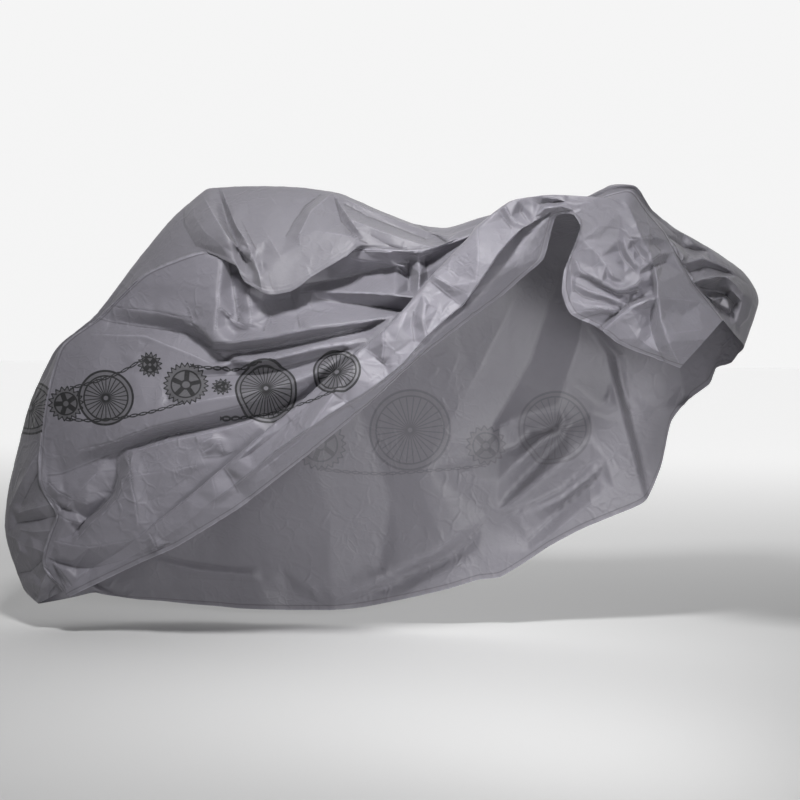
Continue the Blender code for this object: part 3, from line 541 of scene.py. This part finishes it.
def near_base(u, w):
    """The part's near panel before its folds: elevation x, y and depth."""
    t = columns(NEAR_COLUMNS, NEAR)
    seam = station(t, u, "seam_x", "seam_y", "seam_d")
    ridge = station(t, u, "ridge_x", "ridge_y", "ridge_d")
    hem = station(t, u, "hem_x", "hem_y", "hem_d")
    sunk, tuck, tuck_d, edge_at, step = (station(t, u, n) for n in ("sunk", "tuck", "tuck_d", "edge", "step"))
    run = ridge[:, :2] - seam[:, :2]
    length = np.linalg.norm(run, axis=1, keepdims=True) + 1e-9
    tuck = np.clip(tuck, -0.4 * length, None)
    valley = np.concatenate([ridge[:, :2] + run / length * tuck, ridge[:, 2:] + tuck_d], 1)
    belly = np.concatenate([tuck * 0, tuck * 0, np.clip(length / 260, 0, 1) * 0.022], 1)
    under_lip = np.concatenate([tuck * 0, tuck * 0, sunk], 1)
    upper = seam + (valley - seam) * 0.34 - belly + under_lip
    lower = seam + (valley - seam) * 0.68 - belly * 0.9 + under_lip * 0.6
    down = hem - ridge
    edge = ridge + down * edge_at
    edge[:, 2:] = ridge[:, 2:] + down[:, 2:] * edge_at * 0.6 - np.clip(length / 40, 0, 1) * 0.004
    under = ridge + down * (edge_at + 0.05 - step * 8)
    under[:, 2:] = edge[:, 2:] + step
    roll = under + (hem - under) * 0.5
    roll[:, 2:] = (edge[:, 2:] + hem[:, 2:]) * 0.5 - step * 0.35
    knots = np.array((0, *NEAR_ROWS.values(), 1))
    rows = np.stack([seam, upper, lower, valley, ridge, edge, under, roll, hem], 1)
    return [curve(knots, rows[:, :, j], w, 0.3) for j in range(3)]


def far_base(u, w):
    """The part's far panel before its folds."""
    near, t = columns(NEAR_COLUMNS, NEAR), columns(FAR_COLUMNS, FAR)
    seam = station(near, u, "seam_x", "seam_y", "seam_d")
    crest, shoulder, waist, hem = (station(t, u, *(f"{n}_{c}" for c in "xyd")) for n in ("crest", "shoulder", "waist", "hem"))
    drop, proud = station(t, u, "lip"), station(t, u, "proud")
    drop = drop + np.interp(u, LIP_EDGE[0], LIP_EDGE[1])[:, None]
    plain = (crest - seam) * 0.08 * (1 - np.clip(drop / 4, 0, 1))
    lip = seam + plain + np.concatenate([drop * 0, drop, -proud], 1)
    reach = np.linalg.norm(lip[:, :2] - crest[:, :2], axis=1)
    brow = (lip + crest) * 0.5
    brow[:, 2] = lip[:, 2] * 0.62 + crest[:, 2] * 0.38 - np.clip(reach / 60, 0, 1) * 0.012
    knots = np.array((0, *FAR_ROWS.values(), 1))
    rows = np.stack([seam, lip, brow, crest, shoulder, waist, hem], 1)
    return [curve(knots, rows[:, :, j], w, 0.15) for j in range(3)]


def smoothstep(x, a, b):
    t = np.clip((x - a) / (b - a), 0, 1)
    return t * t * (3 - 2 * t)


def spaced(*parts):
    """Row positions: pairs of (end, rows up to it)."""
    out, last = [0.0], 0.0
    for end, n in parts:
        out += list(last + (end - last) * (np.arange(n) + 1) / n)
        last = end
    return np.array(out)


def relaxed(p, rounds, share=0.5):
    """Rounds the creases of a grid of points a little, and leaves its edges."""
    for _ in range(rounds):
        q = p.copy()
        q[1:-1, 1:-1] += share * ((p[:-2, 1:-1] + p[2:, 1:-1] + p[1:-1, :-2] + p[1:-1, 2:]) / 4 - p[1:-1, 1:-1])
        p = q
    return p


def normals(p, outward):
    du, dw = np.gradient(p, axis=0), np.gradient(p, axis=1)
    n = np.cross(du, dw)
    n /= np.linalg.norm(n, axis=2, keepdims=True) + 1e-12
    return n if outward else -n


def detailed(p, seed, outward, gathers, welt=None):
    """Fine relief: crumple over all, gathers and a stitched bead at the seam, and the turned hem.
    A welt is a strength for each column and the row that it runs beside."""
    nu, nw = p.shape[:2]
    across = np.concatenate([np.zeros((nu, 1)), np.cumsum(np.linalg.norm(p[:, 1:] - p[:, :-1], axis=2), axis=1)], 1)
    to_hem = across[:, -1:] - across
    along = np.concatenate([[0.0], np.cumsum(np.linalg.norm(p[1:, 0] - p[:-1, 0], axis=1))])
    along_hem = np.concatenate([[0.0], np.cumsum(np.linalg.norm(p[1:, -1] - p[:-1, -1], axis=1))])
    flat = p.reshape(-1, 3)
    fine = (0.0011 * creased(flat * 22 * (1, 1, 1.25), seed) + 0.00055 * creased(flat * 52, seed + 1) + 0.0012 * noise(flat * 9, seed + 2)).reshape(nu, nw)
    shore = np.clip(across / 0.02, 0, 1) * np.clip(to_hem / 0.01, 0, 1)
    rise = fine * (0.35 + 0.65 * shore)
    # gathers run off the seam, each as long as it is wide a few times over
    s = along[:, None] + 0.15 * across
    pull = np.interp(np.linspace(0, 1, nu), *gathers)[:, None]
    ripple = noise(np.stack([s.ravel() * 85, across.ravel() * 9, 0 * s.ravel()], 1), seed + 3).reshape(nu, nw)
    rise = rise + 0.0022 * pull * ripple * np.exp(-(across / 0.022) ** 1.3) * np.clip(across / 0.004, 0.4, 1)
    rise = rise + SEAM_BEAD * np.exp(-(((across - 0.0045) / 0.0022) ** 2))
    # the hem: a second layer, its stitching drawn in, and a slight wave along its edge
    rise = rise + 0.0007 * smoothstep(-to_hem, -HEM_WIDTH - 0.0012, -HEM_WIDTH + 0.0006)
    rise = rise - 0.0006 * np.exp(-(((to_hem - HEM_WIDTH) / 0.0016) ** 2))
    t = along_hem[:, None] + 0 * across
    wave = noise(np.stack([t.ravel() * 60, 0 * t.ravel() + 5, across.ravel() * 6], 1), seed + 4).reshape(nu, nw)
    rise = rise + 0.0010 * wave * np.exp(-(to_hem / 0.016) ** 1.4)
    if welt is not None:
        strength, row = welt
        off = across - across[:, row:row + 1]
        line = np.exp(-(((off - 0.0125) / 0.0016) ** 2)) + 0.6 * np.exp(-(((off - 0.0065) / 0.0013) ** 2)) - 0.7 * np.exp(-(((off - 0.0098) / 0.0014) ** 2))
        pucker = noise(np.stack([s.ravel() * 110, off.ravel() * 20, 0 * s.ravel() + 3], 1), seed + 6).reshape(nu, nw)
        rise = rise + strength[:, None] * (0.0015 * line + 0.0012 * pucker * np.exp(-((off - 0.009) / 0.009) ** 2))
    ends = np.clip(np.minimum(np.arange(nu), np.arange(nu)[::-1]) / 6, 0, 1)[:, None]
    return p + normals(p, outward) * (rise * ends)[:, :, None], dict(to_seam=across, to_hem=to_hem)


def sheet_object(name, p, uv, marks, material):
    nu, nw = p.shape[:2]
    index = np.arange(nu * nw).reshape(nu, nw)
    quads = np.stack([index[:-1, :-1], index[1:, :-1], index[1:, 1:], index[:-1, 1:]], -1).reshape(-1, 4)
    me = bpy.data.meshes.new(name)
    me.from_pydata(p.reshape(-1, 3).tolist(), [], quads.tolist())
    me.validate()
    loops = np.zeros(len(me.loops), int)
    me.loops.foreach_get("vertex_index", loops)
    layer = me.uv_layers.new(name="print")
    layer.data.foreach_set("uv", uv.reshape(-1, 2)[loops].astype(np.float32).ravel())
    for key, values in marks.items():
        a = me.attributes.new(key, "FLOAT", "POINT")
        a.data.foreach_set("value", values.ravel().astype(np.float32))
    me.shade_smooth()
    me.materials.append(material)
    ob = bpy.data.objects.new(name, me)
    bpy.context.scene.collection.objects.link(ob)
    return ob


def near_points():
    u = np.linspace(0, NEAR[-1][0], 520)
    w = spaced((0.02, 6), (0.56, 84), (0.66, 16), (0.78, 34), (0.84, 14), (0.975, 24), (1.0, 8))
    U, W = (a.ravel() for a in np.meshgrid(u, w, indexing="ij"))
    x, y, depth = near_base(U, W)
    body, body_folds = facets(NEAR_CREASES, NEAR_BOX, 40, .0030, 11, NEAR_CRUMPLES)
    band, band_folds = facets(BAND_CREASES, NEAR_BOX, 34, .0026, 12, BAND_CRUMPLES)
    mix = np.maximum(smoothstep(W, .56, .63), smoothstep(U, 17.5, 18.5))
    rise = read(body, x, y) * (1 - mix) + read(band, x, y) * mix
    # the band leans out to its fold edge, and the body drops away behind the band's upper edge
    held = smoothstep(U, 3, 8) * (1 - smoothstep(U, 16, 18.5))
    lean_ = np.interp(W, (.08, .20, .30, .42, .50, .57, .61, .64, .70, .775, .80, .84, .92, 1), (0, -.010, -.018, -.013, -.017, -.022, -.016, .002, .014, .032, .018, .010, .008, 0))
    rise = rise + held * lean_
    rise *= np.clip(W / 0.04, 0, 1) * np.clip(U / 0.7, 0, 1)
    depth = depth - rise
    # nothing stands further out than the part's own folds, but a little
    depth = np.where(depth < REACH_OUT, REACH_OUT - 0.012 * np.tanh((REACH_OUT - depth) / 0.012), depth)
    p = place(x, y, depth).reshape(len(u), len(w), 3)
    p = relaxed(p, 1, 0.3)
    uv = np.stack([x, 800 - (y + rise * 110)], 1) / 100
    p, edges = detailed(p, 21, False, ((0, .10, .20, .24, .34, .50, 1), (.4, .8, .3, 1, .9, .5, .3)))
    return p, uv, dict(marks_of(body_folds, band_folds, mix < 0.5, x, y), ink=np.ones(len(x)), **edges)


def far_points():
    u = np.linspace(0, NEAR[-1][0], 440)
    w = spaced((0.012, 7), (0.08, 22), (0.32, 58), (0.98, 116), (1.0, 8))
    U, W = (a.ravel() for a in np.meshgrid(u, w, indexing="ij"))
    x, y, depth = far_base(U, W)
    over = np.clip(W / 0.03, 0, 1) * np.clip((FAR_ROWS["crest"] - W) / 0.05, 0, 1)
    down = np.clip((W - FAR_ROWS["crest"] - 0.03) / 0.10, 0, 1) * np.clip(U / 2, 0, 1)
    top, top_folds = facets(TOP_CREASES, TOP_BOX, 38, .0028, 31, TOP_CRUMPLES)
    side, side_folds = facets(FAR_CREASES, FAR_BOX, 52, .0036, 32)
    rise = read(top, x, y) * over + read(side, x, y) * down
    p = place(x, y, depth - rise).reshape(len(u), len(w), 3)
    p = relaxed(p, 1, 0.3)
    uv = np.stack([x, 800 - (y + rise * 110)], 1) / 100
    welt = (smoothstep(u, 9.6, 10.2) * (1 - smoothstep(u, 12.8, 13.3)), int(np.searchsorted(w, FAR_ROWS["lip"])))
    p, edges = detailed(p, 41, True, ((0, .10, .20, .24, .34, .50, 1), (.5, .7, .2, .9, .8, .5, .3)), welt)
    marks = marks_of(top_folds, side_folds, W < FAR_ROWS["crest"], x, y)
    marks["turn"] = marks["turn"] * np.maximum(over, 0.4 * down)
    return p, uv, dict(marks, ink=1 - 0.72 * smoothstep(W, .22, .40), **edges)


# ---- materials ---------------------------------------------------------------------------
class Nodes:
    """A short way to write a node tree."""

    def __init__(self, tree):
        self.tree = tree

    def add(self, kind, **settings):
        n = self.tree.nodes.new(kind)
        for k, v in settings.items():
            setattr(n, k, v)
        return n

    def link(self, a, b):
        self.tree.links.new(a, b)

    def math(self, op, *values, clamp=False):
        n = self.add("ShaderNodeMath", operation=op, use_clamp=clamp)
        for socket, v in zip(n.inputs, values):
            if isinstance(v, (int, float)):
                socket.default_value = v
            else:
                self.link(v, socket)
        return n.outputs[0]

    def ramp(self, value, low, high):
        """0 below low, 1 above high."""
        n = self.add("ShaderNodeMapRange", interpolation_type="SMOOTHSTEP")
        self.link(value, n.inputs["Value"])
        n.inputs["From Min"].default_value, n.inputs["From Max"].default_value = low, high
        return n.outputs["Result"]

    def both(self, a, b):
        return self.math("MULTIPLY", a, b)

    def most(self, *values):
        out = values[0]
        for v in values[1:]:
            out = self.math("MAXIMUM", out, v)
        return out


def film(name, tint, motifs, seed):
    m = bpy.data.materials.new(name)
    m.use_nodes = True
    tree = m.node_tree
    n = Nodes(tree)
    tree.nodes.clear()
    out = n.add("ShaderNodeOutputMaterial")
    bsdf = n.add("ShaderNodeBsdfPrincipled")
    glow = n.add("ShaderNodeBsdfTranslucent")
    mix = n.add("ShaderNodeMixShader")
    mix.inputs[0].default_value = 0.04
    n.link(bsdf.outputs[0], mix.inputs[1])
    n.link(glow.outputs[0], mix.inputs[2])
    n.link(mix.outputs[0], out.inputs["Surface"])
    place_ = n.add("ShaderNodeTexCoord").outputs["Object"]

    def cloud(scale, detail=3.0, rough=0.55, distort=0.0):
        t = n.add("ShaderNodeTexNoise")
        t.inputs["Scale"].default_value = scale
        t.inputs["Detail"].default_value = detail
        t.inputs["Roughness"].default_value = rough
        t.inputs["Distortion"].default_value = distort
        n.link(place_, t.inputs["Vector"])
        return t.outputs["Fac"]

    # colour: slow drift of the grey and fine mottling
    base = n.add("ShaderNodeMix", data_type="RGBA")
    base.inputs["A"].default_value = (*[c * 0.90 for c in tint], 1)
    base.inputs["B"].default_value = (*[c * 1.12 for c in tint], 1)
    n.link(n.math("ADD", n.math("MULTIPLY", cloud(3.0), 0.6), n.math("MULTIPLY", cloud(38.0, 4.0), 0.4)), base.inputs["Factor"])
    colour = base.outputs["Result"]
    # folded film whitens along its crests, its seam and its hem; along its troughs it is darkened as painted shade
    def mark(key):
        return n.add("ShaderNodeAttribute", attribute_name=key).outputs["Fac"]

    def toned(colour, factor, gain):
        scaled = n.add("ShaderNodeVectorMath", operation="SCALE")
        n.link(colour, scaled.inputs[0])
        n.link(n.math("MULTIPLY_ADD", factor, gain - 1.0, 1.0), scaled.inputs["Scale"])
        return scaled.outputs[0]

    off_crease = n.math("MAXIMUM", n.math("ABSOLUTE", mark("across")), n.math("SUBTRACT", mark("near"), 0.0018))
    turn = mark("turn")
    on_line = n.math("SUBTRACT", 1.0, n.ramp(off_crease, 0.0003, 0.0026))
    patchy = n.math("MULTIPLY_ADD", n.ramp(cloud(45.0, 3.0), 0.35, 0.6), 0.7, 0.3)
    crest_line = n.both(n.both(on_line, n.math("MULTIPLY", turn, 1.1, clamp=True)), patchy)
    # painted shade: the film is darkened along the creases' troughs
    painted_trough_shade = n.both(n.both(on_line, n.math("MULTIPLY", turn, -1.1, clamp=True)), patchy)
    colour = toned(colour, crest_line, 1.28)
    colour = toned(colour, painted_trough_shade, 0.72)
    to_seam, to_hem = mark("to_seam"), mark("to_hem")
    colour = toned(colour, n.both(n.math("SUBTRACT", 1.0, n.ramp(to_seam, 0.0022, 0.0050)), patchy), 1.55)
    for off, at, half in ((to_seam, 0.0068, 0.0006), (to_hem, HEM_WIDTH, 0.0006)):
        stitch = n.math("SUBTRACT", 1.0, n.ramp(n.math("ABSOLUTE", n.math("SUBTRACT", off, at)), half, half + 0.0014))
        colour = toned(colour, stitch, 0.66)
    colour = toned(colour, n.both(n.math("SUBTRACT", 1.0, n.ramp(to_hem, 0.0012, 0.0034)), patchy), 1.35)
    # the print
    uv = n.add("ShaderNodeUVMap", uv_map="print").outputs[0]
    sep = n.add("ShaderNodeSeparateXYZ")
    n.link(uv, sep.inputs[0])
    line, fill = motifs(n, sep.outputs[0], sep.outputs[1])
    ink = n.add("ShaderNodeAttribute", attribute_name="ink").outputs["Fac"]
    worn = n.ramp(cloud(160.0, 2.0), 0.30, 0.42)
    line = n.both(n.both(line, ink), n.math("MULTIPLY_ADD", worn, 0.12, 0.88))
    fill = n.both(fill, ink)
    shade = n.add("ShaderNodeMix", data_type="RGBA")
    n.link(n.math("MULTIPLY", fill, 0.62), shade.inputs["Factor"])
    n.link(colour, shade.inputs["A"])
    shade.inputs["B"].default_value = (0.040, 0.040, 0.038, 1)
    drawn = n.add("ShaderNodeMix", data_type="RGBA")
    n.link(n.math("MULTIPLY", line, 0.94), drawn.inputs["Factor"])
    n.link(shade.outputs["Result"], drawn.inputs["A"])
    drawn.inputs["B"].default_value = (0.008, 0.008, 0.009, 1)
    n.link(drawn.outputs["Result"], bsdf.inputs["Base Color"])
    through = n.add("ShaderNodeVectorMath", operation="SCALE")
    through.inputs["Scale"].default_value = 2.9
    n.link(drawn.outputs["Result"], through.inputs[0])
    n.link(through.outputs[0], glow.inputs["Color"])
    # gloss: satin, varying a little, and duller on the print's lines
    rough = n.math("ADD", n.math("MULTIPLY_ADD", cloud(9.0, 5.0, 0.6), 0.16, 0.44), n.math("MULTIPLY", line, 0.08))
    n.link(rough, bsdf.inputs["Roughness"])
    bsdf.inputs["Specular IOR Level"].default_value = 0.42
    bsdf.inputs["Sheen Weight"].default_value = 0.08
    bsdf.inputs["Sheen Roughness"].default_value = 0.5
    # relief finer than the mesh: handling creases and the film's grain
    crease = n.add("ShaderNodeTexVoronoi", feature="DISTANCE_TO_EDGE")
    crease.inputs["Scale"].default_value = 26.0
    warp = n.add("ShaderNodeVectorMath", operation="ADD")
    wob = n.add("ShaderNodeTexNoise")
    wob.inputs["Scale"].default_value = 14.0
    wob.inputs["Detail"].default_value = 2.0
    n.link(place_, wob.inputs["Vector"])
    scaled = n.add("ShaderNodeVectorMath", operation="SCALE")
    scaled.inputs["Scale"].default_value = 0.05
    n.link(wob.outputs["Color"], scaled.inputs[0])
    n.link(place_, warp.inputs[0])
    n.link(scaled.outputs[0], warp.inputs[1])
    n.link(warp.outputs[0], crease.inputs["Vector"])
    lines = n.math("MULTIPLY", n.math("SUBTRACT", 1.0, n.ramp(crease.outputs["Distance"], 0.0, 0.16)), n.ramp(cloud(6.0, 2.0), 0.42, 0.66))
    finer = n.add("ShaderNodeTexVoronoi", feature="DISTANCE_TO_EDGE")
    finer.inputs["Scale"].default_value = 47.0
    n.link(warp.outputs[0], finer.inputs["Vector"])
    hairs = n.math("MULTIPLY", n.math("SUBTRACT", 1.0, n.ramp(finer.outputs["Distance"], 0.0, 0.20)), n.ramp(cloud(11.0, 2.0), 0.38, 0.62))
    height = n.math("ADD", n.math("MULTIPLY", cloud(70.0, 5.0, 0.6), 0.80), n.math("MULTIPLY", lines, 1.05))
    height = n.math("ADD", height, n.math("MULTIPLY", hairs, 0.42))
    height = n.math("ADD", height, n.math("MULTIPLY", cloud(420.0, 2.0), 0.10))
    # the creases' crests, sharper than the mesh can draw them
    within = n.math("MAXIMUM", n.math("SUBTRACT", CREST, off_crease), 0.0)
    crest = n.add("ShaderNodeBump")
    crest.inputs["Strength"].default_value = 1.0
    crest.inputs["Distance"].default_value = 1.0
    n.link(n.both(n.math("MULTIPLY", n.both(within, within), 0.20 / CREST), turn), crest.inputs["Height"])
    bump = n.add("ShaderNodeBump")
    n.link(crest.outputs[0], bump.inputs["Normal"])
    bump.inputs["Strength"].default_value = 0.55
    bump.inputs["Distance"].default_value = 0.0016
    n.link(height, bump.inputs["Height"])
    n.link(bump.outputs[0], bsdf.inputs["Normal"])
    n.link(bump.outputs[0], glow.inputs["Normal"])
    return m


def polar(n, x, y, cx, cy, tilt=0.0):
    """Distance and angle about a motif's centre, in print units of 1/100 of the elevation's."""
    dx = n.math("SUBTRACT", x, cx)
    dy = n.math("SUBTRACT", y, cy)
    r = n.math("SQRT", n.math("ADD", n.math("MULTIPLY", dx, dx), n.math("MULTIPLY", dy, dy)))
    a = n.math("ADD", n.math("ARCTAN2", dy, dx), tilt)
    return r, a, dx, dy


def ring(n, r, radius, half, soft_=0.006):
    """A drawn circle."""
    return n.math("SUBTRACT", 1.0, n.ramp(n.math("ABSOLUTE", n.math("SUBTRACT", r, radius)), half, half + soft_))


def spokes(n, r, a, count, half, inner, outer):
    """Drawn radial lines between two circles."""
    turn = n.math("MULTIPLY", a, count / (2 * math.pi))
    off = n.math("ABSOLUTE", n.math("SUBTRACT", n.math("FRACT", n.math("ADD", turn, 100.0)), 0.5))
    width = n.math("MULTIPLY", n.math("MULTIPLY", off, 2 * math.pi / count), r)
    stroke = n.math("SUBTRACT", 1.0, n.ramp(width, half, half + 0.006))
    return n.both(stroke, n.both(n.ramp(r, inner - 0.004, inner + 0.004), n.math("SUBTRACT", 1.0, n.ramp(r, outer - 0.004, outer + 0.004))))


def inside(n, r, radius):
    return n.math("SUBTRACT", 1.0, n.ramp(r, radius - 0.004, radius + 0.004))


def hoop(n, x, y, cx, cy, radius, count, tyre=0.05, tilt=0.0):
    """A spoked hoop: tyre, rim, hub and thin spokes, with a shaded disc."""
    r, a, _, _ = polar(n, x, y, cx, cy, tilt)
    line = n.most(ring(n, r, radius, 0.008), ring(n, r, radius - tyre, 0.005), ring(n, r, 0.035, 0.009),
                  spokes(n, r, a, count, 0.0022, 0.04, radius - tyre))
    return line, inside(n, r, radius)


def cog(n, x, y, cx, cy, radius, teeth, arms, tilt=0.0):
    """A toothed disc with round cut-outs."""
    r, a, _, _ = polar(n, x, y, cx, cy, tilt)
    tooth = n.math("MULTIPLY", n.math("SINE", n.math("MULTIPLY", a, float(teeth))), 0.016)
    edge = n.math("SUBTRACT", r, tooth)
    line = n.most(ring(n, edge, radius, 0.007), ring(n, r, radius * 0.72, 0.005), ring(n, r, radius * 0.24, 0.007),
                  spokes(n, r, a, arms, 0.022, radius * 0.24, radius * 0.72))
    return line, inside(n, edge, radius)


def chain(n, x, y, x0, x1, y0, slope, sag):
    """A run of drawn links along a shallow arc."""
    t = n.math("DIVIDE", n.math("SUBTRACT", x, x0), x1 - x0)
    arc = n.math("MULTIPLY", n.math("MULTIPLY", t, n.math("SUBTRACT", 1.0, t)), -4 * sag)
    yy = n.math("ADD", n.math("MULTIPLY_ADD", t, slope, y0), arc)
    off = n.math("ABSOLUTE", n.math("SUBTRACT", y, yy))
    beat = n.math("ABSOLUTE", n.math("SINE", n.math("MULTIPLY", x, 34.0)))
    half = n.math("MULTIPLY_ADD", beat, 0.011, 0.004)
    stroke = n.math("SUBTRACT", 1.0, n.ramp(n.math("SUBTRACT", off, half), 0.0, 0.008))
    span = n.both(n.ramp(t, -0.004, 0.004), n.math("SUBTRACT", 1.0, n.ramp(t, 0.996, 1.004)))
    hole = n.both(n.math("SUBTRACT", 1.0, n.ramp(off, 0.002, 0.007)), n.ramp(beat, 0.55, 0.8))
    return n.both(n.both(stroke, span), n.math("SUBTRACT", 1.0, hole))


def near_print(n, x, y):
    lines, fills = [], []
    for args in ((1.06, 4.02, 0.27, 26), (2.66, 4.10, 0.30, 30, 0.045, 0.3), (3.37, 4.28, 0.23, 24, 0.04, 0.1)):
        a, b = hoop(n, x, y, *args)
        lines.append(a)
        fills.append(n.math("MULTIPLY", b, 0.75))
    for args in ((0.66, 3.96, 0.155, 18, 5), (1.86, 4.16, 0.205, 24, 5, 0.4), (1.50, 4.36, 0.10, 14, 4), (2.22, 4.13, 0.080, 12, 3)):
        a, b = cog(n, x, y, *args)
        lines.append(a)
        fills.append(b)
    for args in ((0.70, 1.48, 4.12, 0.32, 0.05), (0.66, 1.84, 3.80, 0.16, 0.06), (1.90, 2.62, 4.36, 0.03, 0.05), (2.20, 3.36, 3.83, 0.24, 0.04)):
        lines.append(chain(n, x, y, *args))
    fill = fills[0]
    for f in fills[1:]:
        fill = n.math("MAXIMUM", fill, f)
    return n.most(*lines), fill


def far_print(n, x, y):
    lines, fills = [], []
    for args in ((0.30, 3.92, 0.26, 24, 0.05, 0.2), (2.30, 3.60, 0.42, 28), (4.10, 3.70, 0.40, 28, 0.06), (5.55, 3.72, 0.36, 26)):
        a, b = hoop(n, x, y, *args)
        lines.append(a)
        fills.append(n.math("MULTIPLY", b, 0.75))
    for args in ((1.45, 3.62, 0.26, 20, 5), (3.20, 3.55, 0.24, 22, 5), (4.86, 3.55, 0.18, 16, 4)):
        a, b = cog(n, x, y, *args)
        lines.append(a)
        fills.append(b)
    for args in ((1.45, 3.20, 3.88, -0.08, 0.05), (3.20, 4.86, 3.30, 0.05, 0.05)):
        lines.append(chain(n, x, y, *args))
    fill = fills[0]
    for f in fills[1:]:
        fill = n.math("MAXIMUM", fill, f)
    return n.most(*lines), fill


# ---- pieces --------------------------------------------------------------------------------
LOOK = {
    "near_panel": ("near_film", near_points, (0.166, 0.160, 0.184), near_print),
    # the far panel is the same film as the near one; its darker tint is painted shade
    "far_panel": ("far_film", far_points, (0.149, 0.144, 0.163), far_print),
}
for node, (name, points, tint, motifs) in LOOK.items():
    p, uv, marks = points()
    piece = sheet_object(name, p, uv, marks, film(name, tint, motifs, 1))
    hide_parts(node)
    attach(piece, "root")

# ---- camera, light and floor ----------------------------------------------------------------
scene = bpy.context.scene
turn, dip = math.radians(TURN), math.radians(DIP)
right = Vector((math.cos(turn), math.sin(turn), 0))
ahead = Vector((-math.sin(turn) * math.cos(dip), math.cos(turn) * math.cos(dip), -math.sin(dip)))
up = right.cross(ahead)
camera = bpy.data.objects.new("camera", bpy.data.cameras.new("camera"))
camera.data.sensor_width = 36
camera.data.lens = REACH / 800 * 36
eye = Vector(EYE) - Vector(CROWN)
camera.matrix_world = Matrix(((right.x, up.x, -ahead.x, eye.x), (right.y, up.y, -ahead.y, eye.y), (right.z, up.z, -ahead.z, eye.z), (0, 0, 0, 1)))
scene.collection.objects.link(camera)
scene.camera = camera


def lamp(name, place_, target, size, power, spread):
    light = bpy.data.lights.new(name, "AREA")
    light.shape = "RECTANGLE"
    light.size, light.size_y = size
    light.energy = power
    light.spread = math.radians(spread)
    ob = bpy.data.objects.new(name, light)
    ob.location = place_
    ob.rotation_euler = (Vector(target) - Vector(place_)).to_track_quat("-Z", "Y").to_euler()
    scene.collection.objects.link(ob)


lamp("key", (0.28, -1.30, 0.90), (0.31, -0.2, -0.34), (0.34, 0.24), 14.2, 104)
lamp("side", (1.35, -1.60, -0.50), (0.42, 0.0, -0.68), (0.5, 0.4), 4.0, 60)
lamp("front", (0.9, -4.2, -0.3), (0.4, 0.0, -0.6), (1.2, 0.9), 6.7, 180)
# the studio: a white wall behind, a dim room in front and a pale ceiling
world = bpy.data.worlds.new("studio")
scene.world = world
world.use_nodes = True
wn = Nodes(world.node_tree)
sky = wn.add("ShaderNodeSeparateXYZ")
wn.link(wn.add("ShaderNodeTexCoord").outputs["Generated"], sky.inputs[0])
behind = wn.ramp(sky.outputs[1], -0.15, 0.65)
above = wn.ramp(sky.outputs[2], 0.10, 0.95)
strength = wn.math("ADD", wn.math("MULTIPLY_ADD", behind, 0.88, 0.03), wn.math("MULTIPLY", above, 0.13), clamp=True)
wn.link(strength, world.node_tree.nodes["Background"].inputs["Strength"])
world.node_tree.nodes["Background"].inputs["Color"].default_value = (1.0, 1.0, 1.0, 1)

me = bpy.data.meshes.new("floor")
size, z = 14.0, -CROWN[2]
me.from_pydata([(-size, -size, z), (size, -size, z), (size, size, z), (-size, size, z)], [], [(0, 1, 2, 3)])
floor = bpy.data.objects.new("floor", me)
scene.collection.objects.link(floor)
ground = bpy.data.materials.new("floor")
ground.use_nodes = True
gb = ground.node_tree.nodes["Principled BSDF"]
# the floor is flat; it is painted paler towards the back and glows more there, as painted light standing in for a lit
# white backdrop
gn = Nodes(ground.node_tree)
back = gn.add("ShaderNodeSeparateXYZ")
gn.link(gn.add("ShaderNodeTexCoord").outputs["Object"], back.inputs[0])
mottle = gn.add("ShaderNodeTexNoise")
mottle.inputs["Scale"].default_value = 2.0
pale = gn.math("MULTIPLY_ADD", gn.ramp(back.outputs[1], -0.6, 2.5), 0.20, 0.60)
gn.link(gn.math("MULTIPLY_ADD", mottle.outputs["Fac"], 0.04, pale), gb.inputs["Base Color"])
# painted light: the floor glows, more so towards the back, though it is no lamp
gb.inputs["Emission Color"].default_value = (1, 1, 1, 1)
gn.link(gn.math("MULTIPLY", gn.ramp(back.outputs[1], 0.2, 4.5), 0.50), gb.inputs["Emission Strength"])
gb.inputs["Roughness"].default_value = 0.85
me.materials.append(ground)
scene.view_settings.view_transform = "Standard"
